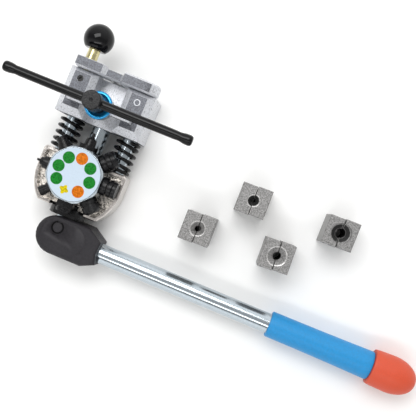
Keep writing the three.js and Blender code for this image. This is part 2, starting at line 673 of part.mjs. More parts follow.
function lockWasher() {
  const y0 = LOCK_WASHER_FOOT;
  const y1 = y0 + LOCK_WASHER_THICKNESS;
  const disc = barY(LOCK_WASHER_RADIUS, -COLUMN_X, y0, y1, GATE_AXIS_Z, SMALL);
  const bore = LOCK_THREAD_RADIUS + RUN;
  return cut(disc, barY(bore, -COLUMN_X, y0 - PAST, y1 + PAST, GATE_AXIS_Z, SMALL));
}

/** Threaded spindle with the thicker stem that the ball knob is screwed on. */
function lockStem() {
  const foot = YOKE_TOP - LOCK_THREAD_LENGTH;
  const seat = LOCK_STEM_FOOT;
  const thread = barY(LOCK_THREAD_RADIUS, -COLUMN_X, foot, seat + MERGE, GATE_AXIS_Z, SMALL);
  const neckFoot = BALL_Y - BALL_SEAT - GAP;
  const stem = barY(LOCK_STEM_RADIUS, -COLUMN_X, seat, neckFoot, GATE_AXIS_Z);
  const neck = barY(LOCK_THREAD_RADIUS, -COLUMN_X, neckFoot - MERGE, neckFoot + 9, GATE_AXIS_Z, SMALL);
  return join(thread, stem, neck);
}

/** Ball with a flat mouth and the blind hole that takes the spindle's neck. */
function ballKnob() {
  const ball = new THREE.SphereGeometry(BALL_RADIUS, ROUND, SMALL);
  const whole = solid(ball.translate(-COLUMN_X, BALL_Y, GATE_AXIS_Z));
  const side = BALL_RADIUS + PAST;
  const mouth = BALL_Y - BALL_SEAT;
  const belowMouth = block(-COLUMN_X - side, -COLUMN_X + side, mouth - side, mouth,
    GATE_AXIS_Z - side, GATE_AXIS_Z + side);
  const hole = barY(LOCK_THREAD_RADIUS + RUN, -COLUMN_X, mouth - PAST, mouth + 9.3, GATE_AXIS_Z, SMALL);
  return cut(whole, belowMouth, hole);
}

// ---------------------------------------------------------------- carriage

/** Shield outline: straight flanks, then one arc down to the flat foot. */
function carriageOutline(inset) {
  const half = CARRIAGE_HALF_WIDTH - inset;
  const top = CARRIAGE_TOP - inset;
  const foot = CARRIAGE_FOOT + inset;
  const arcY = CARRIAGE_TOP - CARRIAGE_SHOULDER;
  const turn = Math.asin((arcY - foot) / half);
  const corner = CARRIAGE_CORNER;
  const shape = new THREE.Shape();
  shape.moveTo(-half + corner, top);
  shape.absarc(-half + corner, top - corner, corner, Math.PI / 2, Math.PI, false);
  shape.absarc(0, arcY, half, Math.PI, Math.PI + turn, false);
  shape.absarc(0, arcY, half, 2 * Math.PI - turn, 2 * Math.PI, false);
  shape.absarc(half - corner, top - corner, corner, 0, Math.PI / 2, false);
  shape.closePath();
  return shape;
}

function detentPlace() {
  return {
    x: DETENT_RADIUS * Math.cos(DETENT_TURN),
    y: TURRET_Y + DETENT_RADIUS * Math.sin(DETENT_TURN),
  };
}

/** A disc on the turret's axis, cut flat above and below it. */
function flatSided(radius, half, z0, z1) {
  const disc = barZ(radius, 0, TURRET_Y, z0, z1, FINE);
  const side = radius + PAST;
  return disc.intersect(block(-side, side, TURRET_Y - half, TURRET_Y + half, z0 - PAST, z1 + PAST));
}

function carriageBody() {
  const casting = plate(carriageOutline(0), CARRIAGE_BACK, CARRIAGE_RIM, 1);
  const pocket = plate(carriageOutline(RIM_WIDTH), CARRIAGE_FLOOR, CARRIAGE_RIM + PAST);
  const boss = flatSided(AXLE_BOSS_RADIUS, AXLE_BOSS_HALF, CARRIAGE_FLOOR - MERGE, AXLE_BOSS_TOP);
  const detent = detentPlace();
  const ballSeat = TURRET_BACK - GAP - DETENT_BALL_RADIUS;
  const pillarTop = TURRET_BACK - 3 * GAP;
  const pillar = barZ(DETENT_PILLAR_RADIUS, detent.x, detent.y, CARRIAGE_FLOOR - MERGE,
    pillarTop, SMALL);
  const detentFoot = ballSeat - DETENT_BALL_RADIUS - DETENT_SPRING_LENGTH - 2 * GAP;
  const bored = DETENT_BALL_RADIUS + RUN;
  const columnFoot = CARRIAGE_TOP - COLUMN_IN_CARRIAGE - COLUMN_END_ROOM;
  const columns = [-1, 1].map((hand) => barY(COLUMN_RADIUS + RUN, hand * COLUMN_X, columnFoot,
    CARRIAGE_TOP + PAST, AXIS_Z));
  const screws = [-1, 1].map((hand) => barZ(AXLE_SCREW_RADIUS + RUN, hand * AXLE_SCREW_OFFSET,
    TURRET_Y, AXLE_BOSS_TOP - AXLE_SCREW_LENGTH, AXLE_BOSS_TOP + PAST, TINY));
  const spigotTop = THRUST_TOP + THRUST_SPIGOT_LENGTH + GAP;
  const notch = THRUST_RADIUS + GAP;
  return cut(
    join(casting.subtract(pocket), boss, pillar),
    block(-notch, notch, CARRIAGE_FOOT - PAST, THRUST_TOP + GAP, -PAST, CARRIAGE_RIM + PAST),
    barY(ROD_RADIUS + RUN, 0, CARRIAGE_FOOT - PAST, CARRIAGE_TOP + PAST, AXIS_Z),
    barY(THRUST_SPIGOT_RADIUS + RUN, 0, CARRIAGE_FOOT - PAST, spigotTop, AXIS_Z),
    barZ(bored, detent.x, detent.y, detentFoot, pillarTop + PAST, TINY),
    ...columns,
    ...screws,
  );
}

/** Hardened ring that the cam rolls under, with a spigot up into the carriage. */
function thrustRing() {
  const spigotTop = THRUST_TOP + THRUST_SPIGOT_LENGTH;
  const disc = barY(THRUST_RADIUS, 0, THRUST_FOOT, THRUST_TOP, AXIS_Z, FINE);
  const side = THRUST_RADIUS + PAST;
  const ring = disc.intersect(block(-side, side, THRUST_FOOT - PAST, THRUST_TOP + PAST,
    AXIS_Z - THRUST_HALF_DEPTH, AXIS_Z + THRUST_HALF_DEPTH));
  const spigot = barY(THRUST_SPIGOT_RADIUS, 0, THRUST_TOP - MERGE, spigotTop, AXIS_Z);
  const bore = barY(ROD_RADIUS + RUN, 0, THRUST_FOOT - PAST, spigotTop + PAST, AXIS_Z);
  return cut(join(ring, spigot), bore);
}

// ---------------------------------------------------------------- turret

/** Axle with the flange that two countersunk screws hold on the carriage. */
function turretAxle() {
  const foot = AXLE_BOSS_TOP + GAP;
  const flangeTop = foot + AXLE_FLANGE_THICKNESS;
  const flange = flatSided(AXLE_FLANGE_RADIUS, AXLE_BOSS_HALF - GAP, foot, flangeTop);
  const journal = barZ(AXLE_RADIUS, 0, TURRET_Y, flangeTop - MERGE, AXLE_TOP);
  const seat = flangeTop - AXLE_SCREW_HEAD_HEIGHT - GAP;
  const holes = [-1, 1].flatMap((hand) => {
    const x = hand * AXLE_SCREW_OFFSET;
    const head = AXLE_SCREW_HEAD_RADIUS + RUN;
    return [
      barZ(AXLE_SCREW_RADIUS + RUN, x, TURRET_Y, foot - PAST, flangeTop + PAST, TINY),
      barZ(head, x, TURRET_Y, seat, flangeTop + PAST, TINY),
    ];
  });
  const tapped = END_SCREW_RADIUS + RUN;
  const depth = AXLE_TOP - END_SCREW_LENGTH;
  return cut(join(flange, journal), ...holes, barZ(tapped, 0, TURRET_Y, depth, AXLE_TOP + PAST, SMALL));
}

function axleScrew(x) {
  const top = AXLE_BOSS_TOP + GAP + AXLE_FLANGE_THICKNESS - GAP;
  const seat = top - AXLE_SCREW_HEAD_HEIGHT + GAP;
  const shank = AXLE_BOSS_TOP - AXLE_SCREW_LENGTH + GAP;
  return join(
    barZ(AXLE_SCREW_HEAD_RADIUS, x, TURRET_Y, seat, top, TINY),
    barZ(AXLE_SCREW_RADIUS, x, TURRET_Y, shank, seat + GAP, TINY),
  );
}

function endWasher() {
  const foot = AXLE_TOP + GAP;
  const top = foot + END_WASHER_THICKNESS;
  const disc = barZ(END_WASHER_RADIUS, 0, TURRET_Y, foot, top);
  return cut(disc, barZ(END_SCREW_RADIUS + RUN, 0, TURRET_Y, foot - PAST, top + PAST, SMALL));
}

function endScrew() {
  const seat = AXLE_TOP + GAP + END_WASHER_THICKNESS + GAP;
  const shank = AXLE_TOP - END_SCREW_LENGTH + GAP;
  const top = seat + END_SCREW_HEAD_HEIGHT;
  return cut(
    join(
      barZ(END_SCREW_HEAD_RADIUS, 0, TURRET_Y, seat, top, SMALL),
      barZ(END_SCREW_RADIUS, 0, TURRET_Y, shank, seat + GAP, SMALL),
    ),
    barZ(HEX_SOCKET, 0, TURRET_Y, top - 1, top + PAST, 6),
  );
}

function detentBall() {
  const place = detentPlace();
  const z = TURRET_BACK - GAP - DETENT_BALL_RADIUS;
  const ball = new THREE.SphereGeometry(DETENT_BALL_RADIUS, TINY, TINY / 2 + 1);
  return solid(ball.translate(place.x, place.y, z));
}

function detentSpring() {
  const place = detentPlace();
  const top = TURRET_BACK - GAP - 2 * DETENT_BALL_RADIUS - GAP;
  const length = DETENT_SPRING_LENGTH - 2 * DETENT_SPRING_WIRE;
  const radius = DETENT_BALL_RADIUS - DETENT_SPRING_WIRE - GAP;
  const coil = coilGeometry(radius, DETENT_SPRING_WIRE, length, 5, TINY, 4);
  const foot = top - DETENT_SPRING_WIRE - length;
  return solid(coil.rotateX(Math.PI / 2).translate(place.x, place.y, foot));
}

/** Eight-sided drum about the group's Z axis, with rounded corners and chamfered faces. */
function turretDrum() {
  const depth = TURRET_FRONT - TURRET_BACK;
  const corner = TURRET_FLAT / Math.cos(Math.PI / PUNCH_COUNT);
  const prism = new THREE.CylinderGeometry(corner, corner, depth, PUNCH_COUNT);
  prism.rotateY(Math.PI / PUNCH_COUNT).rotateX(Math.PI / 2).translate(0, 0, depth / 2);
  const face = TURRET_CORNER_RADIUS - TURRET_CHAMFER;
  const round = turned([
    [0, 0],
    [face, 0],
    [TURRET_CORNER_RADIUS, TURRET_CHAMFER],
    [TURRET_CORNER_RADIUS, depth - TURRET_CHAMFER],
    [face, depth],
    [0, depth],
  ], FINE + ROUND);
  return solid(prism).intersect(solid(round.rotateX(Math.PI / 2)));
}

function turretBody() {
  const depth = TURRET_FRONT - TURRET_BACK;
  const sockets = [];
  const dimpleRadius = DETENT_BALL_RADIUS + RUN;
  for (let i = 0; i < PUNCH_COUNT; i += 1) {
    const turn = (i * 360) / PUNCH_COUNT;
    const inner = TURRET_FLAT - SHANK_LENGTH - GAP;
    const z = PUNCH_Z - TURRET_BACK;
    const socket = barX(SHANK_RADIUS + RUN, inner, TURRET_FLAT + PAST, 0, z, TINY);
    const dimple = new THREE.SphereGeometry(dimpleRadius, TINY, TINY / 2);
    const sunk = solid(dimple.translate(DETENT_RADIUS, 0, DIMPLE_DEPTH - dimpleRadius));
    sockets.push(socket.rotate([0, 0, turn]), sunk.rotate([0, 0, turn]));
  }
  return cut(
    turretDrum(),
    barZ(AXLE_RADIUS + RUN, 0, 0, -PAST, depth + PAST),
    barZ(END_RECESS_RADIUS, 0, 0, RECESS_FLOOR - TURRET_BACK, depth + PAST),
    ...sockets,
  );
}

function turretLabel() {
  const foot = TURRET_FRONT - TURRET_BACK + GAP;
  return barZ(LABEL_RADIUS, 0, 0, foot, foot + LABEL_THICKNESS, FINE);
}

/** One punch along +X from the turret's axis: shank, flange and steps. */
function punch(kind) {
  const foot = TURRET_FLAT + GAP;
  const [flangeRadius, flangeLength] = kind.flange;
  const shank = barX(SHANK_RADIUS, TURRET_FLAT - SHANK_LENGTH, foot + GAP, 0, 0, TINY);
  const sides = kind.sides ?? SMALL;
  const parts = [shank, barX(flangeRadius, foot, foot + flangeLength, 0, 0, sides)];
  let from = foot + flangeLength;
  kind.steps.forEach(([r0, r1, length]) => {
    const slope = (r1 - r0) / length;
    const step = taperGeometry('x', r0 - slope * GAP, r1, from - GAP, from + length, SMALL);
    parts.push(solid(step));
    from += length;
  });
  return join(...parts);
}

/** The turret's drum, label and punches, in a group on the turret's axis. */
function turretGroup() {
  const turret = new THREE.Group();
  turret.position.set(0, TURRET_Y, TURRET_BACK);
  addPiece(turret, 'turret_body', turretBody(), CHROME);
  addPiece(turret, 'turret_label', turretLabel(), LABEL);
  PUNCHES.forEach((kind, i) => {
    const piece = addPiece(turret, kind.name, punch(kind), BLACK_STEEL);
    piece.position.z = PUNCH_Z - TURRET_BACK;
    piece.rotation.z = Math.PI / 2 + (i * 2 * Math.PI) / PUNCH_COUNT;
  });
  return turret;
}

// ---------------------------------------------------------------- cam lever and handle

/** Side outline of the cam head about the pin: round eccentric end, flat top, short neck. */
function headOutline() {
  const centre = -CAM_OFFSET;
  const shape = new THREE.Shape();
  shape.moveTo(HEAD_FOOT_LENGTH, centre - CAM_RADIUS);
  HEAD_MOUTH.forEach(([x, y]) => shape.lineTo(x, y));
  shape.lineTo(HEAD_TOP_LENGTH, centre + CAM_RADIUS);
  shape.absarc(0, centre, CAM_RADIUS, Math.PI / 2, 1.5 * Math.PI, false);
  shape.closePath();
  return shape;
}

/** Cam head about the pin: two cheeks round the rod, solid towards the handle. */
function leverHead() {
  const body = plate(headOutline(), HEAD_BACK, HEAD_FRONT, HEAD_CHAMFER);
  const halfSlot = ROD_RADIUS + SLOT_PLAY;
  const room = ROD_FOOT_RADIUS + SLOT_PLAY;
  const left = -CAM_RADIUS - PAST;
  const slot = block(left, room, -room - PAST, CAM_RADIUS, AXIS_Z - halfSlot, AXIS_Z + halfSlot);
  const pinHole = barZ(PIN_RADIUS + RUN, 0, 0, HEAD_BACK - PAST, HEAD_FRONT + PAST);
  const clipRoom = CLIP_RADIUS + RUN;
  const clipSeat = CLIP_WIRE + 2 * GAP;
  const tube = barX(TUBE_RADIUS + RUN, TUBE_START - GAP, HEAD_LENGTH + PAST, -HANDLE_OFFSET, AXIS_Z);
  const pinTop = -HANDLE_OFFSET - HANDLE_PIN_LENGTH / 2;
  const roll = barY(HANDLE_PIN_RADIUS + RUN, HANDLE_PIN_X, pinTop - 2 * PAST,
    pinTop + HANDLE_PIN_LENGTH + GAP, AXIS_Z, SMALL);
  return cut(
    body,
    slot,
    pinHole,
    barZ(clipRoom, 0, 0, HEAD_FRONT - clipSeat, HEAD_FRONT + PAST),
    barZ(clipRoom, 0, 0, HEAD_BACK - PAST, HEAD_BACK + clipSeat),
    tube,
    roll,
  );
}

function camPin() {
  return barZ(PIN_RADIUS, 0, 0, HEAD_BACK + GAP, HEAD_FRONT - GAP);
}

/** Split spring ring round the pin's end. */
function pinClip(z0) {
  const clip = new THREE.Shape();
  const opening = 0.35;
  clip.absarc(0, 0, CLIP_RADIUS, Math.PI / 2 + opening, 2.5 * Math.PI - opening, false);
  clip.absarc(0, 0, PIN_RADIUS + 0.15, 2.5 * Math.PI - opening, Math.PI / 2 + opening, true);
  clip.closePath();
  return plate(clip, z0, z0 + CLIP_WIRE, 0, TINY);
}

function handleTube() {
  const tube = barX(TUBE_RADIUS, TUBE_START, TUBE_END, -HANDLE_OFFSET, AXIS_Z);
  const bore = TUBE_RADIUS - TUBE_WALL;
  const hollow = barX(bore, TUBE_START - PAST, TUBE_END + PAST, -HANDLE_OFFSET, AXIS_Z);
  const y = -HANDLE_OFFSET;
  const roll = barY(HANDLE_PIN_RADIUS + RUN, HANDLE_PIN_X, y - 2 * TUBE_RADIUS, y + 2 * TUBE_RADIUS,
    AXIS_Z, SMALL);
  return cut(tube, hollow, roll);
}

function handlePin() {
  const foot = -HANDLE_OFFSET - HANDLE_PIN_LENGTH / 2;
  return barY(HANDLE_PIN_RADIUS, HANDLE_PIN_X, foot, foot + HANDLE_PIN_LENGTH, AXIS_Z, SMALL);
}

/** Moulded sleeve that swells towards the cap. */
function gripSleeve() {
  const bore = TUBE_RADIUS + RUN;
  const length = GRIP_END - GAP - GRIP_START;
  const middle = (GRIP_START_RADIUS + GRIP_END_RADIUS) / 2 - 0.5;
  const sleeve = turned([
    [bore, 0],
    [GRIP_START_RADIUS - 1, 0],
    [GRIP_START_RADIUS, 1.4],
    [middle, length * 0.55],
    [GRIP_END_RADIUS, length - 1],
    [GRIP_END_RADIUS - 0.6, length],
    [bore, length],
    [bore, 0],
  ], ROUND);
  return solid(sleeve.rotateZ(-Math.PI / 2).translate(GRIP_START, -HANDLE_OFFSET, AXIS_Z));
}

/** Domed cap over the handle's end. */
function endCap() {
  const length = CAP_END - GRIP_END;
  const bore = TUBE_RADIUS + RUN;
  const boreEnd = TUBE_END + GAP - GRIP_END;
  const dome = [];
  const domeLength = length * 0.42;
  for (let i = 1; i < TINY / 2; i += 1) {
    const angle = (i * Math.PI) / TINY;
    const reach = length - domeLength + domeLength * Math.sin(angle);
    dome.push([CAP_RADIUS * Math.cos(angle) ** 0.7, reach]);
  }
  const cap = turned([
    [bore, 0],
    [CAP_START_RADIUS - 1.5, 0],
    [CAP_START_RADIUS, 1.5],
    [CAP_RADIUS, length - domeLength],
    ...dome,
    [0, length],
    [0, boreEnd],
    [bore, boreEnd],
    [bore, 0],
  ], ROUND);
  return solid(cap.rotateZ(-Math.PI / 2).translate(GRIP_END, -HANDLE_OFFSET, AXIS_Z));
}

/** Everything that turns about the cam pin, in a group at the pin. */
function leverGroup() {
  const lever = new THREE.Group();
  lever.position.set(0, PIN_Y, 0);
  addPiece(lever, 'lever_head', leverHead(), HEAD_PAINT);
  addPiece(lever, 'cam_pin', camPin(), BLACK_STEEL);
  addPiece(lever, 'pin_clip_front', pinClip(HEAD_FRONT - CLIP_WIRE - GAP), BLACK_STEEL);
  addPiece(lever, 'pin_clip_rear', pinClip(HEAD_BACK + GAP), BLACK_STEEL);
  addPiece(lever, 'handle_tube', handleTube(), CHROME);
  addPiece(lever, 'handle_pin', handlePin(), STEEL);
  addPiece(lever, 'grip_sleeve', gripSleeve(), BLUE_GRIP);
  addPiece(lever, 'end_cap', endCap(), ORANGE_CAP);
  return lever;
}

// ---------------------------------------------------------------- loose dies

/** Cutter for the pipe bore and the stepped mouth at the top of a standing die. */
function dieBore(die) {
  const top = DIE_LENGTH;
  const mouthFoot = top - die.straight;
  const coneFoot = mouthFoot - die.cone;
  const profile = turned([
    [0, -PAST],
    [die.bore, -PAST],
    [die.bore, coneFoot],
    [die.mouth - 1.2, mouthFoot - 0.4],
    [die.mouth, mouthFoot],
    [die.mouth, top + PAST],
    [0, top + PAST],
  ], SMALL);
  return solid(profile.rotateX(Math.PI / 2));
}

/** One half of a standing die about the pipe's axis; hand is -1 for left, 1 for right. */
function dieHalf(die, hand) {
  const inner = DIE_SPLIT / 2;
  const outer = DIE_DEPTH / 2;
  const half = DIE_WIDTH / 2;
  const outline = new THREE.Shape();
  outline.moveTo(inner, -half);
  outline.lineTo(outer, -half);
  outline.lineTo(outer, half);
  outline.lineTo(inner, half);
  outline.closePath();
  const blank = plate(outline, 0, DIE_LENGTH, DIE_CHAMFER);
  const right = blank.subtract(dieBore(die)).translate([0, DIE_SHIFT, 0]);
  return hand > 0 ? right : right.rotate([0, 0, 180]);
}

function dieGroup(die) {
  const group = new THREE.Group();
  group.position.set(die.x, die.y, 0);
  group.rotation.z = die.turn;
  addPiece(group, `${die.name}_left`, dieHalf(die, -1), DIE_STEEL);
  addPiece(group, `${die.name}_right`, dieHalf(die, 1), DIE_STEEL);
  return group;
}

// ---------------------------------------------------------------- the whole tool

const tool = new THREE.Group();

addPiece(tool, 'yoke_body', yokeBody(), CAST);
addPiece(tool, 'guide_column_left', guideColumn(-COLUMN_X), CHROME);
addPiece(tool, 'guide_column_right', guideColumn(COLUMN_X), CHROME);
addPiece(tool, 'column_screw_left', columnScrew(-COLUMN_X), BLACK_STEEL);
addPiece(tool, 'column_screw_right', columnScrew(COLUMN_X), BLACK_STEEL);
addPiece(tool, 'spring_left', returnSpring(-COLUMN_X), BLACK_STEEL);
addPiece(tool, 'spring_right', returnSpring(COLUMN_X), BLACK_STEEL);
addPiece(tool, 'tension_rod', tensionRod(), CHROME);
addPiece(tool, 'rod_washer', rodWasher(), STEEL);
addPiece(tool, 'rod_nut', rodNut(), STEEL);

addPiece(tool, 'clamp_ring', clampRing(), BLUE_ANODISED);
addPiece(tool, 'clamp_pad', clampPad(), STEEL);
addPiece(tool, 'clamp_screw', clampScrew(), BLACK_STEEL);
addPiece(tool, 'tommy_bar', tommyBar(), BLACK_STEEL);

addPiece(tool, 'die_gate', dieGate(), CAST);
addPiece(tool, 'gate_pivot_bolt', gatePivotBolt(), STEEL);
addPiece(tool, 'lock_washer', lockWasher(), YELLOW_ZINC);
addPiece(tool, 'lock_stem', lockStem(), YELLOW_ZINC);
addPiece(tool, 'lock_stop_screw', lockStopScrew(), BLACK_STEEL);
addPiece(tool, 'ball_knob', ballKnob(), BLACK_PLASTIC);

addPiece(tool, 'carriage_body', carriageBody(), POLISHED_CAST);
addPiece(tool, 'thrust_ring', thrustRing(), BLACK_STEEL);
addPiece(tool, 'turret_axle', turretAxle(), STEEL);
addPiece(tool, 'axle_screw_left', axleScrew(-AXLE_SCREW_OFFSET), BLACK_STEEL);
addPiece(tool, 'axle_screw_right', axleScrew(AXLE_SCREW_OFFSET), BLACK_STEEL);
addPiece(tool, 'turret_end_washer', endWasher(), STEEL);
addPiece(tool, 'turret_end_screw', endScrew(), BLACK_STEEL);
addPiece(tool, 'detent_ball', detentBall(), STEEL);
addPiece(tool, 'detent_spring', detentSpring(), STEEL);
tool.add(turretGroup());

tool.add(leverGroup());
DIES.forEach((die) => tool.add(dieGroup(die)));

export default tool;
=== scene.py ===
"""Turret brake pipe flaring tool with four split dies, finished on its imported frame.

Laid out as an add-on: settings, one operator for each piece or group of like pieces, one for
the stage, and a panel in the 3D view's sidebar. Run as a script, it builds the whole scene.
Lengths are in metres unless a name or comment says mm.
"""

import json
import math

import bmesh
import bpy
from mathutils import Matrix, Vector

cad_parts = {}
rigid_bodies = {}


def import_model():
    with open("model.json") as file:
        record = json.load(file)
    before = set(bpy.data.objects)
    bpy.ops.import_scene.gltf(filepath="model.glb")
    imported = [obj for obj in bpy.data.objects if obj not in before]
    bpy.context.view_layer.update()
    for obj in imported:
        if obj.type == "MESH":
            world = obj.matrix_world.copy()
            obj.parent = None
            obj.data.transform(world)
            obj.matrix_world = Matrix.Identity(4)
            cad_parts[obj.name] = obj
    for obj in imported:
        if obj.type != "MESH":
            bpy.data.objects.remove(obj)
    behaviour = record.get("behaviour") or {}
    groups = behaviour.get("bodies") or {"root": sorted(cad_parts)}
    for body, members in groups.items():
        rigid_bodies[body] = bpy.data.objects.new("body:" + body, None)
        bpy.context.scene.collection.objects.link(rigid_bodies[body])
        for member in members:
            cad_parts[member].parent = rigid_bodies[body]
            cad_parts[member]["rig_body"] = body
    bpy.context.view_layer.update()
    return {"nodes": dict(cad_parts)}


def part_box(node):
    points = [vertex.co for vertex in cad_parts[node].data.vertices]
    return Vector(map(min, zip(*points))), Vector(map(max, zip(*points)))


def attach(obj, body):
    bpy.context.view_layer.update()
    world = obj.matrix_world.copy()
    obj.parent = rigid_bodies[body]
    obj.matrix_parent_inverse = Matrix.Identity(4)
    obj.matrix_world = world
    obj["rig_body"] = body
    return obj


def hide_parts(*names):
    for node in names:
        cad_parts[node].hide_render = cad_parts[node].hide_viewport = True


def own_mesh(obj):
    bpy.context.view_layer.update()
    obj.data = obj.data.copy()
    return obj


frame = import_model()

bl_info = {
    "name": "Pipe flaring tool",
    "version": (1, 0, 0),
    "blender": (4, 5, 0),
    "location": "3D View > Sidebar > Flaring tool",
    "description": "Builds a turret pipe flaring tool and its split dies on their packed frame",
    "category": "Add Mesh",
}

MM = 0.001
HALF_TURN = [math.pi * i / 12 for i in range(13)]

# Lengths read off the shapes that the looks are laid on
POST_FRONT = 56 * MM  # the yoke posts' front faces, above the bench
POCKET_FLOOR = 28 * MM  # the floor of the carriage's pocket, above the bench
ROD_SEAT_GAP = 0.3 * MM  # between the tension rod's shoulder and the yoke
TUBE_WALL = 2.5 * MM
TUBE_GAP = 0.3 * MM  # between the tube and what is pushed over it

# Lengths of the looks alone
MARK_LEFT = 1.1 * MM  # how far the cast mark stands left of the right column's axis
MARK_UP = 11.9 * MM  # height of the mark along the tool
ROD_NECK = 3 * MM  # above the eye's rim, where the rod's turned part begins
PAD_LENGTH = 16 * MM  # between the centres of the raised pad's two ends
PAD_HOLE = 6.8 * MM  # radius of the opening round the cam pin
SUNK = 0.2 * MM  # how deep raised details reach into the shape under them
FLOOR_RADIUS = 8.0  # wide, so that its edge lies near the horizon in low views
FLOOR_DROP = 0.2 * MM
FLOOR_THICKNESS = 2 * MM

# Name, place from the aim, size and power setting of each softbox
SOFTBOXES = (
    ("key_softbox", (-0.3, 0.45, 1.1), (0.9, 0.5), "key"),
    ("side_softbox", (0.1, -0.6, 1.0), (1.2, 0.14), "fill"),
)

# The room's light across the tool: position from -Y to +Y, and brightness
ROOM_BANDS = (
    *((0.0, 1.0), (0.08, 0.85), (0.12, 0.1), (0.18, 0.1), (0.21, 0.9), (0.28, 0.8)),
    *((0.4, 0.36), (0.55, 0.33), (0.68, 0.6), (0.86, 0.8), (1.0, 1.0)),
)


def linear(code):
    """Linear red, green and blue of an sRGB colour written as six hex digits."""
    parts = [int(code[i : i + 2], 16) / 255 for i in (0, 2, 4)]
    return tuple(c / 12.92 if c <= 0.04045 else ((c + 0.055) / 1.055) ** 2.4 for c in parts)


# ---------------------------------------------------------------- settings


def length_setting(name, default_mm, description):
    """A length that a user may change, given in mm and kept in metres."""
    value = default_mm * MM
    return bpy.props.FloatProperty(
        name=name, default=value, min=0.0, precision=5, unit="LENGTH", description=description
    )


def colour_setting(name, code, description):
    """A colour that a user may change, given as sRGB hex digits and kept linear."""
    return bpy.props.FloatVectorProperty(
        name=name,
        default=linear(code),
        min=0.0,
        max=1.0,
        subtype="COLOR",
        description=description,
    )


def place_setting(name, default, description):
    """A point that a user may move, in metres."""
    return bpy.props.FloatVectorProperty(
        name=name, default=default, subtype="XYZ", unit="LENGTH", description=description
    )


def number_setting(name, default, description, **kind):
    """A number that a user may change."""
    return bpy.props.FloatProperty(name=name, default=default, description=description, **kind)


class FlaringToolSizes(bpy.types.PropertyGroup):
    """Sizes that the looks add to the frame's own."""

    casting_edge: length_setting("Casting edge", 0.55, "Rounding on the edges of the cast parts")
    steel_edge: length_setting("Steel edge", 0.3, "Rounding on the edges of the machined parts")
    die_edge: length_setting("Die edge", 0.5, "Rounding on the edges of the split dies")
    # How far from the bore the painted highlight on the mouth's slanted faces reaches.
    die_mouth: length_setting("Die mouth reach", 11.0, "Reach of the bright edges from the bore")
    head_edge: length_setting("Cam head edge", 1.1, "Rounding on the edges of the cam head")
    head_pad_rise: length_setting("Cam head pad rise", 0.3, "Height of the pad on the cam head")
    head_pad_radius: length_setting("Cam head pad radius", 15.5, "Radius of the pad's two ends")
    spring_wire: length_setting("Spring wire", 1.7, "Radius of the return springs' wire")
    bar_radius: length_setting("Tommy bar radius", 4.3, "Radius of the bar between its swaged ends")
    bar_pinch: length_setting("Tommy bar pinch", 0.35, "Depth of the flat behind each bar end")
    bar_end: length_setting("Tommy bar end", 12.0, "Length of the bar's swaged ends")
    ring_bore: length_setting("Blue ring bore", 7.3, "Radius of the hole in the blue ring")
    ring_rim: length_setting("Blue ring rim", 4.0, "Width of the blue ring's rounded rim")
    stud_radius: length_setting("Stud radius", 6.0, "Radius of the tension rod's stud in the yoke")
    cam_offset: length_setting("Cam offset", 7.8, "Centre of the eccentric from the pivot pin")
    spot_radius: length_setting("Label spot radius", 5.9, "Radius of the printed spots")
    spot_circle: length_setting("Label spot circle", 17.0, "Radius of the circle of spots")
    mark_radius: length_setting("Cast mark radius", 2.8, "Radius of the mark on the right post")


class FlaringToolColours(bpy.types.PropertyGroup):
    """Colours of the tool's finishes."""

    cast: colour_setting("Blasted casting", "72747a", "As-cast faces of the yoke and the gate")
    milled: colour_setting("Milled casting", "dadce1", "Milled faces and edges of the castings")
    nickel: colour_setting("Nickel plate", "d8d2cd", "Polished sides and rim of the carriage")
    nickel_rough: colour_setting("Nickel in the pocket", "d8d1c8", "Floor of the carriage's pocket")
    chrome: colour_setting("Hard chrome", "bcc6cd", "Columns, tension rod, turret and handle tube")
    steel: colour_setting("Turned steel", "a3a5a6", "Nuts, washers, bolts and axle")
    oxide: colour_setting("Black oxide", "0c0c0e", "Punches, hub, thrust ring and screws")
    lacquer: colour_setting("Black lacquer", "060607", "Tommy bar and return springs")
    anodised: colour_setting("Blue anodising", "0f93cf", "Rim of the clamp ring")
    # The dish's colour is a darker copy of the blue anodising: painted shade.
    anodised_dish: colour_setting("Blue dish", "0b5a86", "Dished face of the clamp ring")
    zinc: colour_setting("Yellow zinc", "d9cf9f", "Lock stem and its washer")
    phenolic: colour_setting("Phenolic resin", "060608", "Ball knob")
    label: colour_setting("Label", "c0cfdd", "Ground of the round label")
    green: colour_setting("Green ink", "158427", "Green spots on the label")
    orange: colour_setting("Orange ink", "e2780c", "Orange spots on the label")
    yellow: colour_setting("Yellow ink", "dfca0a", "Yellow spot on the label")
    powder: colour_setting("Charcoal powder coat", "262428", "Cam head")
    grip: colour_setting("Blue vinyl", "0f8bca", "Grip sleeve")
    cap: colour_setting("Orange vinyl", "d04c2b", "End cap")
    sinter: colour_setting("Sintered steel", "8a8988", "Split dies")
    paper: colour_setting("Paper", "f7f7f6", "Floor of the studio")


class FlaringToolStage(bpy.types.PropertyGroup):
    """Where the camera stands and how strong the lights are."""

    eye: place_setting("Camera", (0.1599, -0.0479, 0.760), "Place of the camera")
    aim: place_setting("Aim", (0.1293, -0.0560, 0.020), "Point the camera looks at")
    turn: number_setting("Turn", math.radians(22.35), "Turn about its own view", subtype="ANGLE")
    lens: number_setting("Lens", 63.95, "Focal length on a 36 mm sensor", unit="CAMERA")
    key: number_setting("Key", 7.5, "Power of the main softbox", min=0.0, unit="POWER")
    fill: number_setting("Fill", 2.2, "Power of the side softbox", min=0.0, unit="POWER")
    room: number_setting("Room", 1.35, "Strength of the room's own light", min=0.0)


# ---------------------------------------------------------------- materials


def add_node(tree, kind, inputs=None, **settings):
    """Adds a node, sets its properties, and fills its inputs with values or with outputs."""
    node = tree.nodes.new(kind)
    for name, value in settings.items():
        setattr(node, name, value)
    for socket, value in (inputs or {}).items():
        if isinstance(value, bpy.types.NodeSocket):
            tree.links.new(value, node.inputs[socket])
        else:
            node.inputs[socket].default_value = value
    return node


def toned(colour, share):
    """The colour with its light multiplied by share: darker under 1, lighter over it."""
    return tuple(c * share for c in colour)


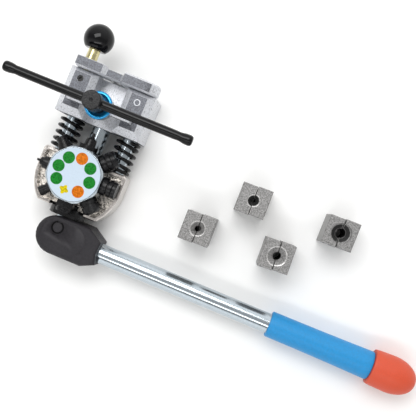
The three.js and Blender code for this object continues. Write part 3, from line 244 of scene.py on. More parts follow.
def grained(
    name,
    colour,
    metallic,
    roughness,
    tones,
    grain_mm,
    depth_mm,
    rough,
    stretch=(1, 1, 1),
    base=1,
    **sockets,
):
    """A material with two tones, two roughnesses and fine hollows spread over it.

    tones are two shares of the colour's light, and rough is the two roughnesses. grain_mm is
    the size of a grain and depth_mm of a hollow; stretch draws the grains out along an axis
    where it is under 1. base is the colour's share before the tones are laid over it.
    """
    material = bpy.data.materials.new(name)
    material.use_nodes = True
    tree = material.node_tree
    tree.nodes.clear()
    values = {"Base Color": (*toned(colour, base), 1.0)}
    values.update({"Metallic": metallic, "Roughness": roughness})
    values.update({socket.replace("_", " "): value for socket, value in sockets.items()})
    shader = add_node(tree, "ShaderNodeBsdfPrincipled", values)
    add_node(tree, "ShaderNodeOutputMaterial", {"Surface": shader.outputs["BSDF"]})

    place = add_node(tree, "ShaderNodeTexCoord")
    drawn = {"Vector": place.outputs["Object"], "Scale": stretch}
    drawn = add_node(tree, "ShaderNodeMapping", drawn)
    scale = 1 / (grain_mm * MM)
    noise = add_node(
        tree, "ShaderNodeTexNoise", {"Vector": drawn.outputs[0], "Scale": scale, "Detail": 3.0}
    )
    ends = {"From Min": 0.34, "From Max": 0.66, "To Min": 0.0}
    spread = add_node(tree, "ShaderNodeMapRange", {"Value": noise.outputs[0], **ends})
    first, second = ((*toned(colour, share), 1.0) for share in tones)
    both = {0: spread.outputs[0], 6: first, 7: second}
    tone = add_node(tree, "ShaderNodeMix", both, data_type="RGBA")
    ends = {"To Min": rough[0], "To Max": rough[1]}
    sheen = add_node(tree, "ShaderNodeMapRange", {"Value": spread.outputs[0], **ends})
    depth = {"Strength": 0.6, "Distance": depth_mm * MM}
    hollows = add_node(tree, "ShaderNodeBump", {"Height": spread.outputs[0], **depth})
    tree.links.new(tone.outputs[2], shader.inputs["Base Color"])
    tree.links.new(sheen.outputs[0], shader.inputs["Roughness"])
    tree.links.new(hollows.outputs[0], shader.inputs["Normal"])
    return material


def blasted_zinc_alloy(colour):
    """Die-cast zinc-aluminium alloy, shot-blasted."""
    # Blasting leaves dents about 0.1 mm across, drawn 1.2 mm across so that they show: a grey,
    # sparkling skin that scatters the light.
    return grained("blasted_zinc_alloy", colour, 0.6, 0.5, (0.45, 1.3), 1.2, 0.2, (0.34, 0.6))


def milled_zinc_alloy(colour):
    """Zinc-aluminium alloy, milled and rubbed on its edges."""
    # Cutter lines a few hundredths of a mm apart blur reflections along one way only, so the
    # bevels read brighter and smoother than the cast skin.
    return grained(
        "milled_zinc_alloy", colour, 0.4, 0.32, (0.72, 1), 0.9, 0.05, (0.26, 0.4), (1, 0.35, 1)
    )


def nickel_on_casting(colour):
    """Bright nickel plate on a tumbled casting."""
    # Plating keeps the soft dips that tumbling leaves, about 4 mm apart, under a warm gloss.
    return grained("nickel_on_casting", colour, 1.0, 0.16, (0.88, 1), 4.0, 0.05, (0.12, 0.24))


def nickel_on_rough_casting(colour):
    """Nickel plate on an unpolished cast floor."""
    # The plate follows pits about 2 mm across, so the floor glitters in broken patches.
    return grained("nickel_on_rough_casting", colour, 1.0, 0.3, (0.3, 1.15), 2.2, 0.3, (0.18, 0.4))


def hard_chrome(colour):
    """Ground steel, hard-chromed."""
    # Grinding lines are too fine to see; they only draw each reflection out a little.
    return grained(
        "hard_chrome", colour, 1.0, 0.17, (0.92, 1), 2.0, 0.004, (0.15, 0.2), (1, 0.2, 1)
    )


def turned_steel(colour):
    """Plain steel, turned on a lathe."""
    # Feed lines 0.2 mm apart, drawn 0.6 mm apart, give a satin grey.
    return grained("turned_steel", colour, 1.0, 0.3, (0.8, 1), 0.6, 0.03, (0.24, 0.38))


def black_oxide_steel(colour):
    """Steel, blackened in an oxide bath and oiled."""
    # The oxide is a thin dark skin over metal: nearly black, with soft grey highlights and
    # patches where the oil is thicker, 1 to 2 mm across.
    return grained(
        "black_oxide_steel",
        colour,
        0.0,
        0.3,
        (0.6, 1.4),
        1.4,
        0.05,
        (0.22, 0.4),
        Specular_IOR_Level=0.3,
    )


def black_lacquer(colour):
    """Steel bar and wire, dipped in black lacquer."""
    # A wet-looking dip coat with runs 7 to 8 mm long: one thin, sharp highlight.
    return grained(
        "black_lacquer",
        colour,
        0.0,
        0.16,
        (0.8, 1.3),
        3.0,
        0.03,
        (0.13, 0.2),
        (0.4, 1, 1),
        Specular_IOR_Level=0.25,
    )


def anodised_aluminium(name, colour, roughness):
    """Aluminium, turned and dyed in an anodising bath."""
    # The dye sits in a clear oxide over metal, so the colour is deep and its highlights pale blue.
    return grained(
        name,
        colour,
        0.75,
        roughness,
        (0.8, 1),
        0.8,
        0.01,
        (roughness * 0.8, roughness * 1.2),
        Coat_Weight=0.5,
        Coat_Roughness=0.12,
    )


def yellow_zinc_plate(colour):
    """Steel, zinc-plated and yellow-passivated."""
    # The passivate varies in thickness over a few mm, from straw to a greener, darker gold.
    return grained("yellow_zinc_plate", colour, 1.0, 0.24, (0.86, 1), 4.0, 0.01, (0.2, 0.3))


def moulded_phenolic(colour):
    """Phenolic resin, pressed in a polished mould."""
    # A hard black gloss with the faint waviness of a moulded ball, about 9 mm from crest to crest.
    return grained(
        "moulded_phenolic",
        colour,
        0.0,
        0.07,
        (0.9, 1.2),
        9.0,
        0.01,
        (0.05, 0.1),
        Specular_IOR_Level=0.25,
    )


def printed_vinyl(name, colour, uneven=0.5):
    """White vinyl film, screen-printed and laminated."""
    # Ink lies flat under the laminate; coarse screen dots leave it uneven, drawn 1.3 mm across.
    return grained(
        name, colour, 0.0, 0.3, (uneven, 1), 1.3, 0.004, (0.26, 0.36), Specular_IOR_Level=0.15
    )


def powder_coat(colour):
    """Steel forging, powder-coated matt."""
    # Powder flows into an orange peel of waves 1 to 2 mm across; edges catch a soft grey light.
    return grained(
        "powder_coat",
        colour,
        0.0,
        0.5,
        (0.75, 1.2),
        1.8,
        0.07,
        (0.42, 0.58),
        Specular_IOR_Level=0.3,
    )


def dipped_vinyl(colour):
    """Soft vinyl sleeve, dip-moulded."""
    # A satin skin with very shallow dimples 2 mm across and a little cloudiness in the dye.
    return grained("dipped_vinyl", colour, 0.0, 0.46, (0.88, 1), 2.2, 0.03, (0.4, 0.52))


def moulded_vinyl_cap(colour):
    """Soft vinyl cap, injection-moulded."""
    # Dull, with a fine spark-eroded grain of 0.3 mm, drawn 0.9 mm.
    return grained("moulded_vinyl_cap", colour, 0.0, 0.5, (0.9, 1), 0.9, 0.03, (0.44, 0.56))


def sintered_steel(colour):
    """Steel pressed from powder, sintered and oiled."""
    # Pores of 0.1 mm, drawn 1.3 mm, speckle the grey face with dark and light points.
    return grained("sintered_steel", colour, 0.4, 0.45, (0.5, 1.4), 1.3, 0.12, (0.36, 0.56))


def sintered_bore(colour):
    """The same steel inside a bore, coloured nearly black as painted shade."""
    # Painted shade: hardly any light gets in, so the bore's colour is set nearly black down to its
    # foot.
    return grained(
        "sintered_bore", colour, 0.2, 0.6, (0.02, 0.08), 0.8, 0.05, (0.5, 0.7), base=0.05
    )


def rubbed_rim(colour):
    """The same steel on the slanted mouth faces that the pipe and the punches bear on, coloured
    brighter as a painted highlight.
    """
    # Painted highlight: the tones lift the colour to two to nearly three times the steel's, on a
    # smoother surface than the faces beside it.
    return grained("rubbed_rim", colour, 0.8, 0.3, (2.0, 2.8), 0.8, 0.02, (0.24, 0.36), base=2.6)


def studio_paper(colour):
    """Heavy matt paper."""
    # Fibres too fine to show; clouds of pulp a few cm across keep it from looking empty.
    return grained("studio_paper", colour, 0.0, 0.9, (0.985, 1), 30.0, 0.02, (0.85, 0.95))


def finish(name):
    """The material with this name, made on its first use from the scene's colours."""
    colours = bpy.context.scene.flaring_tool_colours
    makers = {
        "blasted_zinc_alloy": lambda: blasted_zinc_alloy(colours.cast),
        "milled_zinc_alloy": lambda: milled_zinc_alloy(colours.milled),
        "nickel_on_casting": lambda: nickel_on_casting(colours.nickel),
        "nickel_on_rough_casting": lambda: nickel_on_rough_casting(colours.nickel_rough),
        "hard_chrome": lambda: hard_chrome(colours.chrome),
        "turned_steel": lambda: turned_steel(colours.steel),
        "black_oxide_steel": lambda: black_oxide_steel(colours.oxide),
        "black_lacquer": lambda: black_lacquer(colours.lacquer),
        "anodised_rim": lambda: anodised_aluminium("anodised_rim", colours.anodised, 0.22),
        "anodised_dish": lambda: anodised_aluminium("anodised_dish", colours.anodised_dish, 0.35),
        "yellow_zinc_plate": lambda: yellow_zinc_plate(colours.zinc),
        "moulded_phenolic": lambda: moulded_phenolic(colours.phenolic),
        "vinyl_ground": lambda: printed_vinyl("vinyl_ground", colours.label, 0.97),
        "green_ink": lambda: printed_vinyl("green_ink", colours.green),
        "orange_ink": lambda: printed_vinyl("orange_ink", colours.orange),
        "yellow_ink": lambda: printed_vinyl("yellow_ink", colours.yellow),
        "powder_coat": lambda: powder_coat(colours.powder),
        "dipped_vinyl": lambda: dipped_vinyl(colours.grip),
        "moulded_vinyl_cap": lambda: moulded_vinyl_cap(colours.cap),
        "sintered_steel": lambda: sintered_steel(colours.sinter),
        "sintered_bore": lambda: sintered_bore(colours.sinter),
        "rubbed_rim": lambda: rubbed_rim(colours.sinter),
        "studio_paper": lambda: studio_paper(colours.paper),
    }
    return bpy.data.materials.get(name) or makers[name]()


# ---------------------------------------------------------------- shapes


def middle(*nodes):
    """Middle of the box round these CAD nodes."""
    boxes = [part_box(node) for node in nodes]
    low = Vector(min(box[0][i] for box in boxes) for i in range(3))
    high = Vector(max(box[1][i] for box in boxes) for i in range(3))
    return (low + high) / 2


def shade(bm, crease=math.radians(32)):
    """Smooth faces, with the edges sharper than the crease angle kept hard."""
    for face in bm.faces:
        face.smooth = True
    for edge in bm.edges:
        edge.smooth = edge.is_manifold and edge.calc_face_angle(0.0) < crease


def add_object(name, bm, materials):
    """Puts bm's mesh into the scene as an object with these materials."""
    mesh = bpy.data.meshes.new(name)
    bm.to_mesh(mesh)
    bm.free()
    for material in materials:
        mesh.materials.append(finish(material))
    made = bpy.data.objects.new(name, mesh)
    bpy.context.scene.collection.objects.link(made)
    return made


def add_detail(name, bm, materials, node):
    """Makes an object from bm that lies on a CAD node's piece and moves with it."""
    piece = add_object(name, bm, materials)
    flat = piece.modifiers.new("flat_faces", "WEIGHTED_NORMAL")
    flat.keep_sharp = True
    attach(piece, frame["nodes"][node]["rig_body"])
    return piece


def add_piece(name, bm, materials, node):
    """Makes an object from bm that stands for a CAD node and moves with its body."""
    piece = add_detail(name, bm, materials, node)
    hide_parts(node)
    return piece


def from_frame(node, edge, choose=None, edge_index=0, segments=2):
    """A CAD node's shape with its flat faces joined and its sharp edges rounded.

    choose(face) gives a face its material, and the rounded edges take edge_index.
    """
    bm = bmesh.new()
    bm.from_mesh(frame["nodes"][node].data)
    bmesh.ops.remove_doubles(bm, verts=bm.verts, dist=0.002 * MM)
    bmesh.ops.dissolve_limit(bm, angle_limit=math.radians(0.8), verts=bm.verts, edges=bm.edges)
    bm.normal_update()
    for face in bm.faces:
        face.material_index = choose(face) if choose else 0
    sharp = [e for e in bm.edges if e.is_manifold and e.calc_face_angle(0.0) > math.radians(32)]
    bmesh.ops.bevel(
        bm,
        geom=sharp,
        offset=edge,
        offset_type="OFFSET",
        segments=segments,
        profile=0.6,
        affect="EDGES",
        clamp_overlap=True,
        material=edge_index,
    )
    shade(bm, math.radians(38))
    return bm


def eased(profile, radius):
    """A turned profile with every corner between its ends rounded by about this radius."""
    points = [Vector(point) for point in profile]
    result = [points[0]]
    for before, corner, after in zip(points, points[1:], points[2:]):
        arrive, leave = before - corner, after - corner
        back = min(radius, 0.45 * arrive.length)
        forward = min(radius, 0.45 * leave.length)
        start = corner + arrive.normalized() * back
        end = corner + leave.normalized() * forward
        for share in (0.0, 0.33, 0.67, 1.0):
            bend = corner * 2 * share * (1 - share)
            result.append(start * (1 - share) ** 2 + bend + end * share**2)
    return result + [points[-1]]


def turned(profile, place, axis, steps=64):
    """A turned solid in bmesh: profile points are (radius, height), from its foot to its top.

    place is the point at height 0, and axis is X, Y or Z. A point with radius 0 closes an end.
    """
    bm = bmesh.new()
    along = Vector([axis == name for name in "XYZ"])
    turn = Vector((0, 0, 1)).rotation_difference(along).to_matrix().to_4x4()
    rings = []
    for radius, height in profile:
        if radius < 1e-7:
            rings.append([bm.verts.new((0, 0, height))])
            continue
        angles = (2 * math.pi * i / steps for i in range(steps))
        spots = ((radius * math.cos(a), radius * math.sin(a), height) for a in angles)
        rings.append([bm.verts.new(spot) for spot in spots])
    for low, high in zip(rings, rings[1:]):
        for i in range(steps):
            n = (i + 1) % steps
            corners = [low[i % len(low)], low[n % len(low)]]
            corners += [high[n % len(high)], high[i % len(high)]]
            face = list(dict.fromkeys(corners))
            if len(face) > 2:
                bm.faces.new(face)
    bmesh.ops.transform(bm, matrix=Matrix.Translation(place) @ turn, verts=bm.verts)
    bmesh.ops.recalc_face_normals(bm, faces=bm.faces)
    shade(bm)
    return bm


def cylinder(radius, foot, top):
    """Profile of a solid cylinder."""
    return [(0, foot), (radius, foot), (radius, top), (0, top)]


def raised(bm, outline, height):
    """Adds a face with this outline and pulls it up by height."""
    face = bm.faces.new([bm.verts.new(point) for point in outline])
    lifted = bmesh.ops.extrude_face_region(bm, geom=[face])
    verts = [item for item in lifted["geom"] if isinstance(item, bmesh.types.BMVert)]
    bmesh.ops.translate(bm, vec=(0, 0, height), verts=verts)


def plain(node, material, edge=None):
    """Finishes a small steel piece on its CAD node's own shape."""
    sizes = bpy.context.scene.flaring_tool_sizes
    bm = from_frame(node, sizes.steel_edge if edge is None else edge)
    return add_piece(f"{node}_finished", bm, [material], node)


# ---------------------------------------------------------------- pieces


class FLARING_OT_yoke(bpy.types.Operator):
    """Build the yoke casting with its bevelled posts and its cast mark"""

    bl_idname = "flaring.yoke"
    bl_label = "Yoke"

    def execute(self, context):
        sizes = context.scene.flaring_tool_sizes

        def choose(face):
            centre = face.calc_center_median()
            on_post = abs(face.normal.z) > 0.99 and abs(centre.z - POST_FRONT) < 0.2 * MM
            return 0 if on_post or face.normal.y < -0.9 else 1

        bm = from_frame("yoke_body", sizes.casting_edge, choose, edge_index=1)
        add_piece("yoke_casting", bm, ["blasted_zinc_alloy", "milled_zinc_alloy"], "yoke_body")

        post = middle("guide_column_right")
        radius = sizes.mark_radius
        ring = [
            (radius - 0.5 * MM, -SUNK),
            (radius - 0.35 * MM, 0.15 * MM),
            (radius, 0.2 * MM),
            (radius + 0.35 * MM, 0.15 * MM),
            (radius + 0.5 * MM, -SUNK),
            (radius - 0.5 * MM, -SUNK),
        ]
        mark = turned(ring, (post.x - MARK_LEFT, MARK_UP, POST_FRONT), "Z", 32)
        add_detail("cast_mark", mark, ["milled_zinc_alloy"], "yoke_body")
        return {"FINISHED"}


class FLARING_OT_gate(bpy.types.Operator):
    """Build the swing gate and its pivot bolt"""

    bl_idname = "flaring.gate"
    bl_label = "Gate"

    def execute(self, context):
        sizes = context.scene.flaring_tool_sizes

        def choose(face):
            return 0 if face.normal.z > 0.9 or face.normal.y > 0.9 else 1

        bm = from_frame("die_gate", sizes.casting_edge, choose, edge_index=1)
        add_piece("gate_casting", bm, ["blasted_zinc_alloy", "milled_zinc_alloy"], "die_gate")
        plain("gate_pivot_bolt", "turned_steel")
        return {"FINISHED"}


def spring_coil(node, wire, turns=5.2, steps=36, sides=12):
    """A compression spring along Y with a closed coil at each end, inside the node's box."""
    low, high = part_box(node)
    centre = (low + high) / 2
    radius = (high.x - low.x) / 2 - wire
    height = high.y - low.y - 2 * wire
    closed, dead_pitch = 0.8, 2.05 * wire
    open_pitch = (height - 2 * closed * dead_pitch) / (turns - 2 * closed)
    bm = bmesh.new()
    rings = []
    count = int(turns * steps)
    for i in range(count + 1):
        turn = turns * i / count
        rise = dead_pitch * min(turn, closed)
        rise += open_pitch * max(0.0, min(turn, turns - closed) - closed)
        rise += dead_pitch * max(0.0, turn - (turns - closed))
        angle = 2 * math.pi * turn
        out = Vector((math.cos(angle), 0, math.sin(angle)))
        spot = Vector((centre.x, low.y + wire + rise, centre.z)) + out * radius
        rings.append(
            [
                bm.verts.new(
                    spot
                    + out * wire * math.cos(2 * math.pi * k / sides)
                    + Vector((0, 1, 0)) * wire * math.sin(2 * math.pi * k / sides)
                )
                for k in range(sides)
            ]
        )
    for a, b in zip(rings, rings[1:]):
        for k in range(sides):
            n = (k + 1) % sides
            bm.faces.new((a[k], a[n], b[n], b[k]))
    bm.faces.new(rings[0])
    bm.faces.new(list(reversed(rings[-1])))
    bmesh.ops.recalc_face_normals(bm, faces=bm.faces)
    shade(bm)
    return bm


class FLARING_OT_guides(bpy.types.Operator):
    """Build the two guide columns, their return springs and grub screws"""

    bl_idname = "flaring.guides"
    bl_label = "Guide columns and springs"

    def execute(self, context):
        sizes = context.scene.flaring_tool_sizes
        for side in ("left", "right"):
            node = f"guide_column_{side}"
            low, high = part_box(node)
            centre = (low + high) / 2
            radius = (high.x - low.x) / 2
            profile = eased(cylinder(radius, 0, high.y - low.y), 0.8 * MM)
            bm = turned(profile, (centre.x, low.y, centre.z), "Y")
            add_piece(f"column_{side}", bm, ["hard_chrome"], node)
            plain(f"column_screw_{side}", "black_oxide_steel")

            node = f"spring_{side}"
            low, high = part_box(node)
            centre = (low + high) / 2
            bm = spring_coil(node, sizes.spring_wire)
            coil = add_piece(f"return_spring_{side}", bm, ["black_lacquer"], node)
            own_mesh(coil)
        return {"FINISHED"}


class FLARING_OT_rod(bpy.types.Operator):
    """Build the tension rod with its washer and nut"""

    bl_idname = "flaring.rod"
    bl_label = "Tension rod"

    def execute(self, context):
        sizes = context.scene.flaring_tool_sizes
        low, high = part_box("tension_rod")
        pin = middle("cam_pin")
        radius = (high.z - low.z) / 2
        foot = (high.x - low.x) / 2
        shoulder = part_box("yoke_body")[0].y - low.y - ROD_SEAT_GAP
        length = high.y - low.y
        neck = pin.y - low.y + foot + ROD_NECK
        shaft = [(0, neck), (radius, neck), (radius, shoulder), (sizes.stud_radius, shoulder)]
        shaft += [(sizes.stud_radius, length), (0, length)]
        bm = turned(eased(shaft, 0.5 * MM), (pin.x, low.y, pin.z), "Y")
        add_piece("tension_rod_chromed", bm, ["hard_chrome"], "tension_rod")
        eye = bmesh.new()
        eye.from_mesh(frame["nodes"]["tension_rod"].data)
        cut = {"plane_co": (0, low.y + neck, 0), "plane_no": (0, 1, 0), "clear_outer": True}
        bmesh.ops.bisect_plane(eye, geom=[*eye.verts, *eye.edges, *eye.faces], **cut)
        bmesh.ops.holes_fill(eye, edges=[edge for edge in eye.edges if edge.is_boundary])
        shade(eye)
        add_detail("tension_rod_eye", eye, ["hard_chrome"], "tension_rod")
        plain("rod_washer", "turned_steel")
        plain("rod_nut", "turned_steel")
        return {"FINISHED"}


class FLARING_OT_clamp(bpy.types.Operator):
    """Build the clamp screw with its pad, blue ring and tommy bar"""

    bl_idname = "flaring.clamp"
    bl_label = "Clamp screw and tommy bar"

    def execute(self, context):
        plain("clamp_pad", "turned_steel")
        plain("clamp_screw", "black_oxide_steel", 0.45 * MM)
        sizes = context.scene.flaring_tool_sizes
        self.ring(sizes)
        self.bar(sizes)
        return {"FINISHED"}

    def ring(self, sizes):
        """Ring with a thick rounded rim and a dished face coloured a darker blue as painted shade.
        """
        low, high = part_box("clamp_ring")
        centre = (low + high) / 2
        radius = (high.x - low.x) / 2
        top = high.z - low.z
        bore = sizes.ring_bore
        rim = sizes.ring_rim
        rise = 1.5 * MM
        crown = [
            (radius - rim / 2 + rim / 2 * math.cos(a), top - rise + rise * math.sin(a))
            for a in HALF_TURN
        ]
        profile = [(bore, 0), (radius - 0.6 * MM, 0), (radius, 0.7 * MM), *crown]
        profile += [(bore, top - 1.8 * MM), (bore, 0)]
        bm = turned(eased(profile, 0.4 * MM), (centre.x, centre.y, low.z), "Z", 96)
        for face in bm.faces:
            spot = face.calc_center_median()
            reach = math.hypot(spot.x - centre.x, spot.y - centre.y)
            # Faces of the dish take the darker blue of painted shade.
            dished = face.normal.z > 0.2 and reach < radius - rim + 0.1 * MM
            face.material_index = 1 if dished else 0
        add_piece("blue_ring", bm, ["anodised_rim", "anodised_dish"], "clamp_ring")

    def bar(self, sizes):
        """Round bar with a rounded, swaged bulb at each end and a flat pinched in behind it."""
        low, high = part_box("tommy_bar")
        centre = (low + high) / 2
        half = (high.x - low.x) / 2
        bulb = (high.z - low.z) / 2
        shaft = sizes.bar_radius
        length = sizes.bar_end
        end = [
            (0, -half),
            (bulb * 0.5, -half),
            (bulb * 0.88, -half + 0.9 * MM),
            (bulb, -half + 0.25 * length),
            (bulb * 0.98, -half + 0.6 * length),
            (shaft * 1.01, -half + length),
        ]
        stations = [(shaft, -half + length + (0.5 + 2 * i) * MM) for i in range(5)]
        profile = eased(end, 0.8 * MM) + stations
        profile = profile + [(radius, -height) for radius, height in reversed(profile)]
        bm = turned(profile, centre, "X", 48)
        for vert in bm.verts:
            along = half - abs(vert.co.x - centre.x)
            reach = max(0.0, 1 - abs(along - length - 1 * MM) / (4 * MM))
            above = vert.co.y - centre.y
            limit = shaft - sizes.bar_pinch * reach
            if reach > 0 and abs(above) > limit:
                vert.co.y = centre.y + math.copysign(limit, above)
        shade(bm)
        add_piece("tommy_bar_lacquered", bm, ["black_lacquer"], "tommy_bar")


class FLARING_OT_lock(bpy.types.Operator):
    """Build the ball knob, its stem, washer and stop screw"""

    bl_idname = "flaring.lock"
    bl_label = "Gate lock"

    def execute(self, context):
        low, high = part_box("ball_knob")
        centre = (low + high) / 2
        radius = (high.x - low.x) / 2
        ball = Vector((centre.x, high.y - radius, centre.z))
        bore = 5.1 * MM
        mouth = low.y - ball.y
        profile = [(0, mouth + 9.3 * MM), (bore, mouth + 9.3 * MM), (bore, mouth)]
        lip = math.sqrt(radius**2 - mouth**2)
        profile += [(lip - 0.5 * MM, mouth), (lip, mouth + 0.15 * MM)]
        start = math.asin(mouth / radius) + 0.05
        arc = [start + (math.pi / 2 - start) * i / 40 for i in range(41)]
        profile += [(radius * math.cos(a), radius * math.sin(a)) for a in arc[:-1]]
        profile.append((0, radius))
        bm = turned(profile, ball, "Y", 72)
        add_piece("ball_knob_moulded", bm, ["moulded_phenolic"], "ball_knob")
        plain("lock_stem", "yellow_zinc_plate")
        plain("lock_washer", "yellow_zinc_plate", 0.2 * MM)
        plain("lock_stop_screw", "black_oxide_steel")
        return {"FINISHED"}


class FLARING_OT_carriage(bpy.types.Operator):
    """Build the carriage casting, its thrust ring, and the turret's axle and detent"""

    bl_idname = "flaring.carriage"
    bl_label = "Carriage"

    def execute(self, context):
        sizes = context.scene.flaring_tool_sizes

        def choose(face):
            centre = face.calc_center_median()
            return 1 if face.normal.z > 0.9 and abs(centre.z - POCKET_FLOOR) < 0.3 * MM else 0

        bm = from_frame("carriage_body", sizes.casting_edge, choose, edge_index=0)
        materials = ["nickel_on_casting", "nickel_on_rough_casting"]
        add_piece("carriage_casting", bm, materials, "carriage_body")
        for node in ("turret_axle", "turret_end_washer", "detent_ball", "detent_spring"):
            plain(node, "turned_steel", 0.1 * MM)
        for node in ("axle_screw_left", "axle_screw_right", "turret_end_screw"):
            plain(node, "black_oxide_steel", 0.15 * MM)
        plain("thrust_ring", "black_oxide_steel", 0.6 * MM)
        return {"FINISHED"}


class FLARING_OT_turret(bpy.types.Operator):
    """Build the turret drum and its printed label"""

    bl_idname = "flaring.turret"
    bl_label = "Turret"

    # Angle of each spot from +X in degrees, and its ink: 0 green, 1 orange, 2 yellow
    spots = ((84, 1), (41, 0), (-5.5, 0), (-54, 1), (-101.5, 2), (-146, 0), (171, 0), (128, 0))

    def execute(self, context):
        sizes = context.scene.flaring_tool_sizes
        bm = from_frame("turret_body", 0.5 * MM, segments=3)
        add_piece("turret_drum", bm, ["hard_chrome"], "turret_body")
        low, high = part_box("turret_label")
        centre = (low + high) / 2
        radius = (high.x - low.x) / 2
        thick = high.z - low.z
        disc = eased(cylinder(radius, 0, thick), 0.2 * MM)
        bm = turned(disc, (centre.x, centre.y, low.z), "Z", 96)
        add_piece("label_film", bm, ["vinyl_ground"], "turret_label")

        bm = bmesh.new()
        for turn, ink in self.spots:
            angle = math.radians(turn)
            x = centre.x + sizes.spot_circle * math.cos(angle)
            y = centre.y + sizes.spot_circle * math.sin(angle)
            self.spot(bm, x, y, high.z, sizes.spot_radius, ink, angle)
        bmesh.ops.recalc_face_normals(bm, faces=bm.faces)
        add_detail("label_spots", bm, ["green_ink", "orange_ink", "yellow_ink"], "turret_label")
        return {"FINISHED"}

    def spot(self, bm, x, y, z, radius, ink, angle):
        """One printed spot: round, or with four lobes for the yellow one."""
        corners = []
        for i in range(48):
            a = 2 * math.pi * i / 48
            reach = radius if ink < 2 else radius * 0.66 * (1 + 0.22 * math.cos(4 * (a - angle)))
            corners.append(Vector((x + reach * math.cos(a), y + reach * math.sin(a), z)))
        # Built ring by ring, so that the order of its faces is the same in every run
        foot = [bm.verts.new(corner) for corner in corners]
        top = [bm.verts.new(corner + Vector((0, 0, 0.04 * MM))) for corner in corners]
        bm.faces.new(foot)
        bm.faces.new(top)
        for i in range(len(foot)):
            bm.faces.new((foot[i - 1], foot[i], top[i], top[i - 1]))
        for vert in top:
            for around in vert.link_faces:
                around.material_index = ink


class FLARING_OT_punches(bpy.types.Operator):
    """Build the eight forming punches"""

    bl_idname = "flaring.punches"
    bl_label = "Punches"

    def execute(self, context):
        for node in sorted(frame["nodes"]):
            if node.startswith("punch_"):
                plain(node, "black_oxide_steel", 0.35 * MM)
        return {"FINISHED"}


class FLARING_OT_lever(bpy.types.Operator):
    """Build the cam head with its raised pad, pivot pin, retaining rings and cross pin"""

    bl_idname = "flaring.lever"
    bl_label = "Cam lever"

    def execute(self, context):
        sizes = context.scene.flaring_tool_sizes
        bm = from_frame("lever_head", sizes.head_edge, segments=3)
        add_piece("cam_head", bm, ["powder_coat"], "lever_head")
        self.pad(sizes)
        plain("cam_pin", "powder_coat", 0.5 * MM)
        for side in ("front", "rear"):
            plain(f"pin_clip_{side}", "black_lacquer", 0.15 * MM)
        plain("handle_pin", "turned_steel")
        return {"FINISHED"}

    def pad(self, sizes):
        """Raised pad on the head's front: a stadium from the cam's centre towards the handle."""
        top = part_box("lever_head")[1].z
        pin = middle("cam_pin")
        radius = sizes.head_pad_radius
        start = pin.y - sizes.cam_offset
        bm = bmesh.new()
        outline = []
        for x, first in ((pin.x, math.pi / 2), (pin.x + PAD_LENGTH, -math.pi / 2)):
            for i in range(49):
                a = first + math.pi * i / 48
                outline.append((x + radius * math.cos(a), start + radius * math.sin(a)))
        raised(bm, [(x, y, top - SUNK) for x, y in outline], SUNK + sizes.head_pad_rise)
        bmesh.ops.recalc_face_normals(bm, faces=bm.faces)
        rim = [e for e in bm.edges if e.calc_face_angle(0.0) > 1 and e.verts[0].co.z > top]
        bmesh.ops.bevel(bm, geom=rim, offset=0.28 * MM, segments=2, profile=0.5, affect="EDGES")
        shade(bm, math.radians(50))
        piece = add_detail("cam_head_pad", bm, ["powder_coat"], "lever_head")
        cutter = turned(cylinder(PAD_HOLE, -2 * MM, 2 * MM), (pin.x, pin.y, top), "Z", 48)
        tool = add_object("pin_hole", cutter, [])
        hollow = piece.modifiers.new("pin_hole", "BOOLEAN")
        hollow.operation = "DIFFERENCE"
        hollow.object = tool
        bpy.context.view_layer.update()
        evaluated = piece.evaluated_get(bpy.context.evaluated_depsgraph_get())
        finished = bpy.data.meshes.new_from_object(evaluated)
        piece.modifiers.clear()
        piece.data = finished
        bpy.data.objects.remove(tool)


class FLARING_OT_handle(bpy.types.Operator):
    """Build the chromed tube, the blue grip and the orange end cap"""

    bl_idname = "flaring.handle"
    bl_label = "Handle"

    def execute(self, context):
        low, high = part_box("handle_tube")
        centre = (low + high) / 2
        radius = (high.z - low.z) / 2
        length = high.x - low.x
        bore = radius - TUBE_WALL
        profile = [(bore, 0), (radius, 0), (radius, length), (bore, length), (bore, 0)]
        bm = turned(eased(profile, 0.5 * MM), (low.x, centre.y, centre.z), "X", 96)
        add_piece("chromed_tube", bm, ["hard_chrome"], "handle_tube")
        self.grip(radius + TUBE_GAP)
        self.cap(radius + TUBE_GAP)
        return {"FINISHED"}

    def grip(self, bore):
        """Sleeve that is a little slimmer behind its first lip and swells towards the cap."""
        low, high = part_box("grip_sleeve")
        centre = (low + high) / 2
        length = high.x - low.x
        wide = (high.z - low.z) / 2
        slim = wide - 1.3 * MM
        stations = []
        for i in range(25):
            share = i / 24
            swell = slim + (wide - slim) * (0.1 * share + 0.9 * share**2.2)
            stations.append((swell, 1.6 * MM + share * (length - 2.6 * MM)))
        profile = [(bore, 0), (slim - 1.1 * MM, 0), (slim - 0.2 * MM, 0.6 * MM)] + stations
        profile += [(wide - 0.5 * MM, length), (bore, length), (bore, 0)]
        bm = turned(profile, (low.x, centre.y, centre.z), "X", 96)
        add_piece("blue_grip", bm, ["dipped_vinyl"], "grip_sleeve")

    def cap(self, bore):
        """Cap with a rolled mouth and a long domed end."""
        low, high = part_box("end_cap")
        centre = (low + high) / 2
        length = high.x - low.x
        wide = (high.z - low.z) / 2
        dome = 0.56 * length
        profile = [(bore, 0), (wide - 2.2 * MM, 0), (wide - 1.3 * MM, 0.5 * MM)]
        profile.append((wide - 1.0 * MM, 1.6 * MM))
        for i in range(1, 7):
            height = 2 * MM + (length - dome - 2 * MM) * i / 6
            profile.append((wide - 0.7 * MM * (1 - i / 6), height))
        for i in range(1, 25):
            a = math.pi / 2 * i / 24
            reach = wide * math.cos(a) ** 0.88 if i < 24 else 0.0
            profile.append((reach, length - dome + dome * math.sin(a)))
        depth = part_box("handle_tube")[1].x - low.x + TUBE_GAP
        profile = [(0, depth), (bore, depth)] + profile
        bm = turned(profile, (low.x, centre.y, centre.z), "X", 96)
        add_piece("orange_cap", bm, ["moulded_vinyl_cap"], "end_cap")


